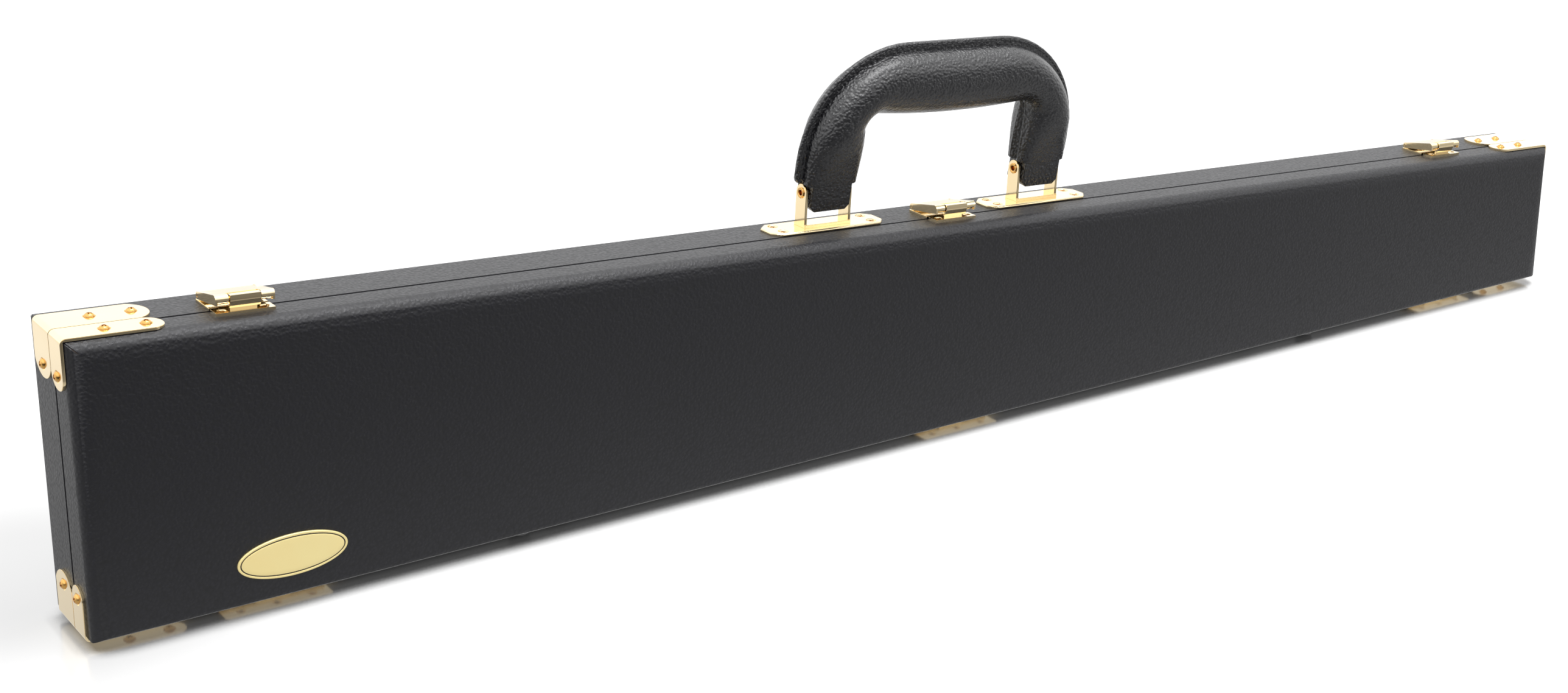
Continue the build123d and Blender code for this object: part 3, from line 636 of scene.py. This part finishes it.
def fuller_round(work):
    """Draws the lid's rounded edges down over the front face, as stuffed leather lies."""
    for point in work.verts:
        spot = point.co
        deep = spot.y - FRONT_Y
        from_foot = spot.z - FOOT_HEIGHT
        sides = [
            ((top_height(spot.x) - spot.z) * cos(SLOPE), -UPWARD, ROUND_DOWNWARD),
            (from_foot, Vector((0, 0, 1)), ROUND_AT_FOOT),
            (HALF_LENGTH - abs(spot.x), Vector((-1 if spot.x > 0 else 1, 0, 0)), ROUND_DOWNWARD),
        ]
        near = min(distance for distance, inward, growth in sides)
        reach = Vector((max(0, LID_ROUND - deep), max(0, LID_ROUND - near)))
        on_edge = deep < LID_ROUND + NEARLY and near < LID_ROUND + NEARLY
        if on_edge and reach.length > LID_ROUND - ARC_SLACK:
            growth_inward = ROUND_AT_FOOT if from_foot < LID_ROUND + NEARLY else ROUND_INWARD
            shift = Vector((0, deep * (growth_inward - 1), 0))
            for distance, inward, growth in sides:
                if distance < LID_ROUND + NEARLY:
                    shift += inward * distance * (growth - 1)
            point.co = spot + shift
    return work


COVERS = {"base": from_node("base_cover"), "lid": fuller_round(from_node("lid_cover"))}
for half, cover in COVERS.items():
    make_piece(
        f"{half}_leather", soften(cover, 0.35, 2), CASE_LEATHER, half,
        stands_for=(f"{half}_cover",),
    )
    make_piece(
        f"{half}_box", soften(from_node(f"{half}_shell"), 0.2, 1), WOOD, half,
        stands_for=(f"{half}_shell",),
    )

# %% [markdown]
# ## Corner brackets and hinges
# Pressed brass is never sharp: the die leaves a small round on every edge, and that round catches the
# light as a bright line. A bevel in the shader would shade such edges but leave the outline hard, so
# they are bevelled in the mesh. The holes are cut first, and their rims are rounded with the rest.
# The two halves' brackets almost meet at the seam, and the lid's upper pair is a little wider.
# %% Brackets and hinges
CLOSER = 0.17
UPPER_FROM = FOOT_HEIGHT + 30
LID_BRACKET_REAR = SEAM_Y - SEAM_HALF
LID_BRACKET_SPAN = LID_BRACKET_REAR - FRONT_Y - BRACKET_SETBACK
for half in BRACKET_MIDDLES:
    places = bracket_screws(half)
    sheet = from_node(f"{half}_corner_brackets")
    for corner in sheet.verts:
        if half == "lid" and corner.co.z > UPPER_FROM:
            corner.co.y -= UPPER_WIDER * (LID_BRACKET_REAR - corner.co.y) / LID_BRACKET_SPAN
        if abs(corner.co.y - SEAM_Y) < SEAM_HALF + 0.01:
            corner.co.y -= CLOSER * (1 if half == "base" else -1)
    brass = cut_away(sheet, countersinks(places, SCREW_HEAD))
    make_piece(
        f"{half}_brackets", soften(brass, 0.14, 2), BRASS, half,
        stands_for=(f"{half}_corner_brackets",),
    )
    add_screws(f"{half}_bracket_screws", half, places, SCREW_HEAD, DOME_RISE)
    places = hinge_screws(HINGE_WIDTHS[half])
    brass = cut_away(from_node(f"{half}_hinge_leaves"), countersinks(places, SMALL_SCREW_HEAD))
    make_piece(
        f"{half}_hinges", soften(brass, 0.1, 2), BRASS, half,
        stands_for=(f"{half}_hinge_leaves",),
    )
    add_screws(f"{half}_hinge_screws", half, places, SMALL_SCREW_HEAD)

# %% [markdown]
# ## Latches
# A latch is a lever with a tab: the yoke turns on the plate's rear knuckle, and the tab hangs between
# the yoke's two front barrels and pulls on the keeper's rib. All are thin folded brass. The moving
# pieces have to stay apart to turn, so each is dressed from its own CAD node and rides on its own
# body. The tab's folded face has a kink across it, so it is cut into strips and bent at the middle.
# %% Latches
LATCH_SCREWS = [(-5.5, 5.6), (5.5, 5.6)]
KEEPER_SCREWS = [(-7.6, -3.4), (7.6, -3.4)]
TAB_CUTS = (2.5, 3.3, 3.9, 4.5, 5.1, 5.7, 6.2)
TAB_FACE_FROM = -4.9
TAB_MIDDLE = 4.7
TAB_CROWN = 0.3
TAB_TOP_LEAN = 0.04
TAB_FORWARD = 0.2
LIP_TOP = 3.3
LIP_LENGTH = 1.9
LIP_SHORTER = 0.6


def tab_work(name, place):
    """The tab with a shorter lip and a kinked face, as folded sheet comes out of the die."""
    work = from_node(f"latch_tab_{name}")
    bmesh.ops.transform(work, matrix=place.inverted(), verts=work.verts)
    for height in TAB_CUTS:
        whole = work.verts[:] + work.edges[:] + work.faces[:]
        bmesh.ops.bisect_plane(work, geom=whole, plane_co=(0, 0, height), plane_no=(0, 0, 1))
    for point in work.verts:
        spot = point.co
        if spot.y < TAB_FACE_FROM:
            below = max(0.0, TAB_MIDDLE - spot.z)
            above = max(0.0, spot.z - TAB_MIDDLE)
            spot.y += TAB_CROWN * below + TAB_TOP_LEAN * above - TAB_FORWARD
        if spot.z < LIP_TOP:
            spot.z += LIP_SHORTER * (LIP_TOP - spot.z) / LIP_LENGTH
    bmesh.ops.transform(work, matrix=place, verts=work.verts)
    return work


for name, x in LATCH_X.items():
    fitting = top_frame(x, SEAM_Y)
    plate_screws = around(fitting, LATCH_SCREWS, LATCH_PLATE)
    keeper_screws = around(fitting, KEEPER_SCREWS, LATCH_PLATE)
    plate = cut_away(from_node(f"latch_base_{name}"), countersinks(plate_screws, SMALL_SCREW_HEAD))
    keeper = cut_away(from_node(f"latch_keeper_{name}"), countersinks(keeper_screws, SMALL_SCREW_HEAD))
    for piece, work, body in (
        (f"latch_base_{name}", plate, "base"),
        (f"latch_keeper_{name}", keeper, "lid"),
        (f"latch_yoke_{name}", from_node(f"latch_yoke_{name}"), f"yoke_{name}"),
        (f"latch_tab_{name}", tab_work(name, fitting), f"tab_{name}"),
    ):
        make_piece(f"{piece}_brass", soften(work, 0.13, 2), BRASS, body, stands_for=(piece,))
    add_screws(f"latch_base_screws_{name}", "base", plate_screws, SMALL_SCREW_HEAD)
    add_screws(f"latch_keeper_screws_{name}", "lid", keeper_screws, SMALL_SCREW_HEAD)

# %% [markdown]
# ## Handle plates, ears and rivets
# Each end of the handle hangs between two ears bent up from a strap. The strap is screwed down
# through a long plate with clipped corners. The rivets are hollow, so each ear shows a dark eye; a
# flat disc would lose it, and a turned profile gives the eye and its rolled rim at once.
# %% Handle fittings
PIN_HEIGHT = 15.3
EAR_SPAN = 23.0
HANDLE_ENDS = {"frog": -1, "tip": 1}
for name, end in HANDLE_ENDS.items():
    plate_screws = around(handle_fitting(end), PLATE_SCREWS, PLATE_THICK)
    plate = cut_away(from_node(f"handle_plate_{name}"), countersinks(plate_screws, SCREW_HEAD))
    strap = from_node(f"handle_strap_{name}")
    for piece, work in (("plate", soften(plate, 0.22, 3)), ("strap", soften(strap, 0.16, 2))):
        node = f"handle_{piece}_{name}"
        make_piece(f"{node}_brass", work, BRASS, "base", stands_for=(node,))
    add_screws(f"handle_plate_screws_{name}", "base", plate_screws, SCREW_HEAD)

# %% Rivets
RIVET_STEPS = 36
RIVET_PROFILE = [
    (0, -3.0), (1.5, -3.0), (1.5, 0.02), (2.25, 0.05), (2.3, 0.28), (2.05, 0.5), (1.5, 0.52), (1.15, 0.3),
    (1.0, -0.4), (0.95, -1.4), (0, -1.5),
]
SHAFT_PROFILE = [(0, -10.0), (1.5, -10.0), (1.5, 10.0), (0, 10.0)]
rivet_places = []
shaft_places = []
for end in HANDLE_ENDS.values():
    fitting = handle_fitting(end)
    for side in (-1, 1):
        outside = fitting @ Matrix.Translation((side * EAR_SPAN / 2, 0, PIN_HEIGHT))
        rivet_places.append(outside @ Matrix.Rotation(side * pi / 2, 4, "Y"))
    shaft_places.append(fitting @ Matrix.Translation((0, 0, PIN_HEIGHT)) @ Matrix.Rotation(pi / 2, 4, "Y"))
rivets = copies(lathe(RIVET_PROFILE, RIVET_STEPS), rivet_places)
shaft_mesh = bpy.data.meshes.new("rivet_shafts")
copies(lathe(SHAFT_PROFILE, RIVET_STEPS), shaft_places).to_mesh(shaft_mesh)
rivets.from_mesh(shaft_mesh)
bpy.data.meshes.remove(shaft_mesh)
make_piece("handle_rivets", rivets, SCREW_BRASS, "base", stands_for=("handle_pins",))

# %% [markdown]
# ## The handle
# The handle is a padded core with leather drawn round it and sewn along the outside into a flat
# welt. Its two legs end in a lip, below which slimmer wraps go in between the ears. It leans a
# little to the front. A bent tube would be quick, but the real one is thicker in the middle than
# across its corners, so the grip is a loft: each ring joins an outer and an inner point of its outline.
# %% Handle outline
HANDLE_LEAN = radians(8)
GRIP_HALF_DEPTH = 11.8
GRIP_OUTER = 68.2
GRIP_INNER = 43.6
GRIP_TOP = 57.9
GRIP_UNDER = 33.0
GRIP_BELLY = 2.0
OUTER_RADIUS = 44.0
INNER_RADIUS = 4.6
GRIP_END = 4.4
LEG_STEPS = 4
CORNER_STEPS = 14
TOP_STEPS = 5
pin_axis = top_frame(HANDLE_X, HANDLE_Y) @ Matrix.Translation((0, 0, PIN_HEIGHT))
handle_frame = pin_axis @ Matrix.Rotation(HANDLE_LEAN, 4, "X")


def leg_and_corner(across, centre_x, centre_h, radius):
    """Points up the handle's right leg and round its corner."""
    rise = centre_h - GRIP_END
    points = [(across, GRIP_END + rise * i / LEG_STEPS) for i in range(LEG_STEPS)]
    for i in range(CORNER_STEPS + 1):
        angle = pi / 2 * i / CORNER_STEPS
        points.append((centre_x + radius * cos(angle), centre_h + radius * sin(angle)))
    return points


def both_sides(points):
    """Half a line, with its other half added."""
    return points + [(-u, h) for u, h in reversed(points[:-1])]


def outline_points(grow=0.0):
    """Outer line of the handle as (across, up) points, from one leg's end to the other's."""
    centre_x = GRIP_OUTER - OUTER_RADIUS
    points = leg_and_corner(GRIP_OUTER + grow, centre_x, GRIP_TOP - OUTER_RADIUS, OUTER_RADIUS + grow)
    points += [(centre_x * (1 - i / TOP_STEPS), GRIP_TOP + grow) for i in range(1, TOP_STEPS + 1)]
    return both_sides(points)


def inner_points():
    """Inner line of the handle, with as many points as the outer line."""
    centre_x = GRIP_INNER - INNER_RADIUS
    points = leg_and_corner(GRIP_INNER, centre_x, GRIP_UNDER - INNER_RADIUS, INNER_RADIUS)
    for i in range(1, TOP_STEPS + 1):
        share = 1 - i / TOP_STEPS
        points.append((centre_x * share, GRIP_UNDER - GRIP_BELLY * (1 - share * share)))
    return both_sides(points)


print("points along the handle:", len(outline_points()))

# %% [markdown]
# ## The grip
# The leather is closed on the inside of the handle, where its two edges are drawn together: a fine
# groove with a slight ridge on each side. The rings have extra points there, so that the groove is in
# the shape and not only in the shading. The ends are drawn in over the wraps as a small lip.
# %% Rings of the grip
LEG_END_HALF_DEPTH = 6.5
LEG_THIN_FROM = 28.0
ROUND_STEPS = 40
GROOVE_DEPTH = 1.3
GROOVE_RIDGE = 0.3
RIDGE_ANGLE = 0.11
GROOVE_ANGLES = (-0.17, -RIDGE_ANGLE, -0.06, 0.0, 0.06, RIDGE_ANGLE, 0.17)
GROOVE_ROOM = 0.24
LEG_SQUARENESS = 0.4
GRIP_FULLNESS = 0.5


def leg_share(height):
    """Smooth share, from 0 at the end of a leg to 1 where the full grip begins."""
    share = min(1.0, max(0.0, (height - GRIP_END) / (LEG_THIN_FROM - GRIP_END)))
    return share * share * (3 - 2 * share)


def half_depth(height):
    """Half the handle's depth at a height: its legs thin towards their ends."""
    return LEG_END_HALF_DEPTH + (GRIP_HALF_DEPTH - LEG_END_HALF_DEPTH) * leg_share(height)


def ring_angles():
    """Angles round a cross section, closer together at the seam on the inside."""
    even = [2 * pi * i / ROUND_STEPS for i in range(ROUND_STEPS)]
    away = [a for a in even if abs(a - pi) > GROOVE_ROOM]
    return sorted(away + [pi + a for a in GROOVE_ANGLES])


def grip_ring(outer, inner, squeeze=1.0):
    """One cross section: a full oval between an outer and an inner point, with a seam inside."""
    centre = (Vector(outer) + Vector(inner)) / 2
    half = (Vector(outer) - Vector(inner)) / 2
    roundness = LEG_SQUARENESS + GRIP_FULLNESS * leg_share(centre.y)
    ring = []
    for angle in ring_angles():
        across = abs(cos(angle)) ** roundness * (1 if cos(angle) > 0 else -1)
        deep = abs(sin(angle)) ** roundness * (1 if sin(angle) > 0 else -1)
        reach = half.length * across * squeeze
        from_seam = abs(angle - pi)
        if from_seam < 0.03:
            reach += GROOVE_DEPTH
        elif abs(from_seam - RIDGE_ANGLE) < 0.02:
            reach -= GROOVE_RIDGE
        spot = centre + half.normalized() * reach
        ring.append((spot.x, -deep * half_depth(spot.y) * squeeze, spot.y))
    return ring


# %% Grip
GRIP_GROW = 0.4
LIP_DROP = 0.3
LIP_SQUEEZES = (0.8, 0.93)
END_SQUEEZE = 0.985
stations = list(zip(outline_points(GRIP_GROW), inner_points()))
ends = (stations[0], stations[-1])
lips = [((u, h - LIP_DROP), (v, k - LIP_DROP)) for (u, h), (v, k) in ends]
rings = [grip_ring(*lips[0], squeeze) for squeeze in LIP_SQUEEZES]
rings += [grip_ring(*station, END_SQUEEZE if station in ends else 1.0) for station in stations]
rings += [grip_ring(*lips[1], squeeze) for squeeze in reversed(LIP_SQUEEZES)]
grip_work = loft(rings)
bmesh.ops.transform(grip_work, matrix=handle_frame, verts=grip_work.verts)
grip = make_piece(
    "handle_grip_leather", grip_work, GRIP_LEATHER, "handle", stands_for=("handle_grip",)
)

# %% [markdown]
# ## The welt and its stitches
# The edges of the leather stand out along the back of the handle as a flat welt, sewn through with
# waxed thread. The welt is a second loft that follows the same outline further out, with a rounded
# edge, and its ends are trimmed round. A row of stitches painted on would vanish from the side, so
# each stitch is a fat little thread, and they are set out along the line by its length.
# %% Welt
WELT_OUT = 3.9
WELT_IN = -3.0
WELT_HALF = 1.2
WELT_FOOT = 1.5
WELT_BULGE = 0.8 * WELT_HALF
WELT_END_ROUND = 2.6
WELT_FOOT_RISES = (0.0, 0.3, 1.0, 2.2)


def welt_line():
    """Outer edge of the welt; its two ends are trimmed round."""
    points = outline_points(WELT_OUT)
    trimmed = []
    for sign, point in ((1, points[0]), (-1, points[-1])):
        arc = []
        for turn in (0, 30, 60, 90):
            cut = WELT_END_ROUND * (1 - sin(radians(turn)))
            rise = WELT_END_ROUND * (1 - cos(radians(turn)))
            arc.append((sign * (abs(point[0]) - cut), point[1] + rise))
        trimmed.append(arc)
    return trimmed[0] + points[1:-1] + trimmed[1][::-1]


def welt_foot_line():
    """Inner edge of the welt, hidden in the grip, with a point for each of the outer edge's."""
    points = outline_points(WELT_IN)
    first, last = [[(u, h + rise) for rise in WELT_FOOT_RISES] for u, h in (points[0], points[-1])]
    return first + points[1:-1] + last[::-1]


welt_rings = []
for outer, inner in zip(welt_line(), welt_foot_line()):
    outside = Vector(outer)
    inside = Vector(inner)
    way = (outside - inside).normalized()
    edge = outside - way * WELT_BULGE
    section = [(inside, -WELT_FOOT), (edge, -WELT_HALF)]
    for turn in (-60, -30, 0, 30, 60):
        bulge = edge + way * WELT_BULGE * cos(radians(turn))
        section.append((bulge, WELT_HALF * sin(radians(turn))))
    section += [(edge, WELT_HALF), (inside, WELT_FOOT)]
    welt_rings.append([(spot.x, -depth, spot.y) for spot, depth in section])
welt_work = loft(welt_rings)
bmesh.ops.transform(welt_work, matrix=handle_frame, verts=welt_work.verts)
make_piece(
    "handle_welt_leather", welt_work, GRIP_LEATHER, "handle", stands_for=("handle_welt",)
)

# %% Stitches
STITCH_PITCH = 2.6
STITCH_HALF = 0.85
STITCH_PROFILE = [
    (0, -STITCH_HALF), (0.2, -STITCH_HALF + 0.1), (0.26, 0), (0.2, STITCH_HALF - 0.1), (0, STITCH_HALF),
]
STITCH_STEPS = 8
STITCH_LINE = 0.62 * WELT_OUT
STITCH_LIFT = WELT_HALF + 0.06


def along_line(points, pitch):
    """Spots and directions every pitch along a line of points."""
    spots = []
    left = pitch / 2
    for start, stop in zip(points, points[1:]):
        start = Vector(start)
        run = Vector(stop) - start
        while left < run.length:
            spots.append((start + run.normalized() * left, run.normalized()))
            left += pitch
        left -= run.length
    return spots


stitch_places = []
for side in (-1, 1):
    for spot, way in along_line(outline_points(STITCH_LINE), STITCH_PITCH):
        lie = frame_at((spot.x, side * STITCH_LIFT, spot.y), (0, side, 0), (way.x, 0, way.y))
        stitch_places.append(handle_frame @ lie)
stitches = copies(lathe(STITCH_PROFILE, STITCH_STEPS), stitch_places)
make_piece("handle_stitches", stitches, THREAD, "handle")
print("stitches:", len(stitch_places))

# %% [markdown]
# ## Wrapped ends of the handle
# Below the lip, each leg goes on as a slimmer block of leather folded round a core. The CAD node has
# its shape; folded leather only needs soft corners and a rounded bottom, so a wide bevel is enough.
# %% Wrapped ends
WRAP_EDGE = 1.3
make_piece(
    "handle_wraps", soften(from_node("handle_ends"), WRAP_EDGE, 4), GRIP_LEATHER, "handle",
    stands_for=("handle_ends",),
)

# %% [markdown]
# ## The badge's place
# A small oval plate sits low on the lid. Its face is left bare: a raised rim, a dark enamel line and
# a satin field with a slight crown. It could be cut from a disc, but stacked ovals, each inset a
# little and raised or sunk, give the rim, the channel for the enamel and the crown in one skin.
# %% Badge
BADGE_X = -309.0
BADGE_Z = FOOT_HEIGHT + 15.7
BADGE_HALF_WIDTH = 20.3
BADGE_HALF_HEIGHT = 7.9
BADGE_STEPS = 96
PLATE_LEVELS = [
    (0, 0), (0, 0.45), (0.12, 0.62), (0.3, 0.7), (0.75, 0.7), (0.9, 0.62), (0.95, 0.42), (1.35, 0.42),
    (1.4, 0.62), (1.55, 0.7), (3.0, 0.76), (5.0, 0.8), (7.2, 0.82),
]
ENAMEL_LEVELS = [(0.9, 0.3), (0.9, 0.5), (1.4, 0.5), (1.4, 0.3)]
badge_frame = frame_at((BADGE_X, FRONT_Y, BADGE_Z), (1, 0, 0), (0, -1, 0))


def oval_skin(levels, closed_ends):
    """Skin over stacked ovals, each inset and raised by given amounts, at the badge's place."""
    turns = [2 * pi * i / BADGE_STEPS for i in range(BADGE_STEPS)]
    rings = []
    for inset, rise in levels:
        across = BADGE_HALF_WIDTH - inset
        up = BADGE_HALF_HEIGHT - inset
        rings.append([(across * cos(turn), up * sin(turn), rise) for turn in turns])
    work = loft(rings, closed_ends)
    bmesh.ops.transform(work, matrix=badge_frame, verts=work.verts)
    return work


make_piece(
    "badge_oval", oval_skin(PLATE_LEVELS, True), BADGE_BRASS, "lid",
    stands_for=("badge_plate",),
)
make_piece("badge_line", oval_skin(ENAMEL_LEVELS, False), ENAMEL, "lid")

# %% [markdown]
# ## Inside, and the feet
# The lining and the cradles are covered in dark red velvet. The cradles' corners are drawn round by
# the cloth. Two black clips turn over the bows at the tip end, and four rubber feet stand under the
# case. These CAD shapes are right as they are and need only soft edges and a finish, so one loop
# takes them all: each row gives a node, the width of its edges, its finish, slot and body.
# %% Inside pieces and feet
for node, width, material, slot, body in (
    ("base_lining", 0.5, LINING, "lining", "base"),
    ("base_rim", 0.3, LINING, "lining", "base"),
    ("lid_lining", 0.5, LINING, "lining", "lid"),
    ("frog_cradle", 1.6, PAD_VELVET, "lining", "base"),
    ("tip_cradle", 1.6, PAD_VELVET, "lining", "base"),
    ("clip_posts", 0.25, STEEL, "pin_steel", "base"),
    ("bow_clip_upper", 0.4, CLIP_BLACK, "clip_black", "clip_upper"),
    ("bow_clip_lower", 0.4, CLIP_BLACK, "clip_black", "clip_lower"),
    ("base_feet", 0.5, RUBBER, "foot_rubber", "base"),
    ("lid_feet", 0.5, RUBBER, "foot_rubber", "lid"),
):
    work = soften(from_node(node), width, 3)
    make_piece(f"{node}_dressed", work, material, body, stands_for=(node,))

# %% [markdown]
# ## Floor
# The case stands on a glossy white floor. A white floor under plain light is never quite white in a
# picture, so where the camera looks straight at it, it glows by as much as is missing. Close under
# the case the glow fades out, which paints the contact shadow, and beside its end a painted shadow
# dims it in a soft round patch. To a mirror the floor is a glowing panel of painted reflection:
# darker in front, brighter behind, with painted bounce light close under the case and painted shade
# near its end.
# %% Floor
FLOOR_HALF = 6.0
FLOOR_COLOUR = (0.12, 0.12, 0.12, 1)
CONTACT_REACH = 0.012
END_SHADOW_PLACE = (-0.385, 0.06, 0)
BEHIND_STRENGTH = 1.05
floor_work = bmesh.new()
bmesh.ops.create_grid(floor_work, x_segments=1, y_segments=1, size=FLOOR_HALF)
floor_mesh = bpy.data.meshes.new("floor")
floor_work.to_mesh(floor_mesh)
floor_work.free()
floor = bpy.data.objects.new("floor", floor_mesh)
bpy.context.scene.collection.objects.link(floor)


def floor_finish():
    """White gloss: lit and shadowed as usual; to the camera a white glow with a painted contact shadow and
    end shadow; to mirrors a glow with painted shade and bounce light.
    """
    material, tree, shader = new_material(
        "Studio floor", Base_Color=FLOOR_COLOUR, Roughness=0.18, Specular_IOR_Level=0.8,
        Emission_Color=(1, 1, 1, 1),
    )
    path = add_node(tree, "ShaderNodeLightPath")
    place = add_node(tree, "ShaderNodeNewGeometry").outputs["Position"]
    split = add_node(tree, "ShaderNodeSeparateXYZ", {0: place})
    reach = {"Distance": CONTACT_REACH}
    near = add_node(tree, "ShaderNodeAmbientOcclusion", reach, samples=8).outputs["AO"]
    ends = {0: place, 1: END_SHADOW_PLACE}
    behind = add_node(tree, "ShaderNodeVectorMath", ends, operation="DISTANCE").outputs["Value"]

    # Painted contact shadow: the camera glow fades out where ambient occlusion finds the case close by,
    # except beside its end; a painted end shadow dims a soft round patch there.
    painted_contact_shadow = ramp(tree, near, 0.47, 0.86, 0.0, 1.0, "SMOOTHSTEP")
    beside = ramp(tree, split.outputs["X"], -0.386, -0.378, 1.0, 0.0)
    end_shadow = ramp(tree, behind, 0.03, 0.14, 0.5, 1.0, "SMOOTHSTEP")
    glow = combined(tree, "MULTIPLY", combined(tree, "MAXIMUM", painted_contact_shadow, beside), end_shadow)
    seen_glow = combined(tree, "MULTIPLY", glow, path.outputs["Is Camera Ray"])
    join(tree, seen_glow, shader.inputs["Emission Strength"])

    # What mirrors see is a glowing floor with painted reflection levels: darker in front and to the left,
    # brighter behind.
    rearward = ramp(tree, split.outputs["Y"], -0.25, 0.05, 0.0, 1.0)
    in_front = ramp(tree, split.outputs["X"], -0.5, 0.45, 0.03, 0.5)
    levels = {"Factor": rearward, "A": in_front, "B": BEHIND_STRENGTH}
    shade = add_node(tree, "ShaderNodeMix", levels, data_type="FLOAT").outputs["Result"]
    # Painted bounce light close under the case, and painted shade near the end, in what mirrors see.
    painted_bounce_under_case = ramp(tree, near, 0.05, 0.5, 2.2, 1.0)
    corner = ramp(tree, behind, 0.02, 0.25, 0.75, 1.0)
    shaded = combined(tree, "MULTIPLY", combined(tree, "MULTIPLY", shade, painted_bounce_under_case), corner)
    painted_mirror_glow = add_node(tree, "ShaderNodeEmission", {"Strength": shaded})
    seen = switched(tree, path.outputs["Is Glossy Ray"], shader.outputs[0], painted_mirror_glow.outputs[0])
    join(tree, seen, tree.nodes["Material Output"].inputs["Surface"])
    return material


floor_mesh.materials.append(floor_finish())
print("floor half width in metres:", FLOOR_HALF)

# %% [markdown]
# ## World
# What polished metal mirrors matters more than what lights it. So rays that come from a mirror see a
# room that is dim low in front and bright behind and above, while the case itself is lit by a plain
# soft grey, and the camera sees white. One world holds all three, and Light Path picks among them.
# %% World
LIGHT_STRENGTH = 0.4
world = bpy.data.worlds.new("studio")
bpy.context.scene.world = world
world.use_nodes = True
sky = world.node_tree
soft_light = sky.nodes["Background"]
soft_light.inputs["Color"].default_value = (1, 1, 1, 1)
soft_light.inputs["Strength"].default_value = LIGHT_STRENGTH
ray = add_node(sky, "ShaderNodeLightPath")
way = add_node(sky, "ShaderNodeTexCoord").outputs["Generated"]
parts = add_node(sky, "ShaderNodeSeparateXYZ", {0: way})
front_to_back = ramp(sky, parts.outputs["Y"], -0.9, 0.4, 0.2, 1.6)
upward = ramp(sky, parts.outputs["Z"], 0.08, 0.6, 0.15, 1.9)
room = combined(sky, "MAXIMUM", front_to_back, upward)
mirror = add_node(sky, "ShaderNodeBackground", {"Color": (1, 1, 1, 1), "Strength": room})
seen = add_node(sky, "ShaderNodeBackground", {"Color": (1, 1, 1, 1), "Strength": 1.0})
by_camera = switched(sky, ray.outputs["Is Camera Ray"], soft_light.outputs[0], seen.outputs[0])
glossy = combined(sky, "MAXIMUM", ray.outputs["Is Glossy Ray"], ray.outputs["Is Transmission Ray"])
by_mirror = switched(sky, glossy, by_camera, mirror.outputs[0])
join(sky, by_mirror, sky.nodes["World Output"].inputs["Surface"])
print("world nodes:", len(sky.nodes))

# %% [markdown]
# ## Lamps
# One wide lamp above lights the whole length of the case. Its mirror image on the lid's round edge
# would be a hard line, so mirrors see a weaker, narrower lamp in its place. A small fill lightens the
# far end, and a soft lamp from the front left lights the badge and the near end without a glare.
# %% Lamps
def add_lamp(name, place, target, size, watts):
    """Soft lamp aimed at a point."""
    light = bpy.data.lights.new(name, "AREA")
    light.shape = "RECTANGLE"
    light.size, light.size_y = size
    light.energy = watts
    lamp = bpy.data.objects.new(name, light)
    bpy.context.scene.collection.objects.link(lamp)
    lamp.location = place
    lamp.rotation_euler = (Vector(target) - Vector(place)).to_track_quat("-Z", "Y").to_euler()
    print(f"{name}: {watts} W")
    return lamp


overhead = add_lamp("overhead", (0.1, -0.15, 1.15), (0, 0, 0), (1.1, 0.5), 15.0)
overhead.visible_glossy = False
add_lamp("right_fill", (1.2, -1.2, 0.8), (0.3, 0, 0.05), (0.7, 0.7), 2.0)
streak = add_lamp("streak", (0.0, -0.15, 1.15), (0, 0, 0), (0.8, 0.22), 7.0)
streak.visible_diffuse = False
front_soft = add_lamp("front_soft", (-0.9, -1.6, 0.9), (-0.3, 0, 0.03), (1.0, 1.0), 25.0)
front_soft.visible_glossy = False

# %% [markdown]
# ## Camera
# The camera was solved from the case's straight edges in the photograph. The optical axis is not in
# the middle of the picture, which was cropped, so a small shift puts it back.
# %% Camera
PHOTO_WIDTH = 2576
PHOTO_HEIGHT = 1138
FOCAL_PIXELS = 3743.2
AXIS_PIXEL = (1507.0, 465.9)
SENSOR_WIDTH = 36.0
camera_data = bpy.data.cameras.new("camera")
camera = bpy.data.objects.new("camera", camera_data)
bpy.context.scene.collection.objects.link(camera)
bpy.context.scene.camera = camera
camera.location = (-0.58599, -0.72842, 0.36488)
camera.rotation_euler = (radians(71.9286), radians(-1.7366), radians(-37.2553))
camera_data.sensor_width = SENSOR_WIDTH
camera_data.lens = FOCAL_PIXELS / PHOTO_WIDTH * SENSOR_WIDTH
camera_data.shift_x = (PHOTO_WIDTH / 2 - AXIS_PIXEL[0]) / PHOTO_WIDTH
camera_data.shift_y = (AXIS_PIXEL[1] - PHOTO_HEIGHT / 2) / PHOTO_WIDTH
camera_data.clip_start = 0.05
bpy.context.scene.view_settings.view_transform = "Standard"
print("lens in mm:", round(camera_data.lens, 2))
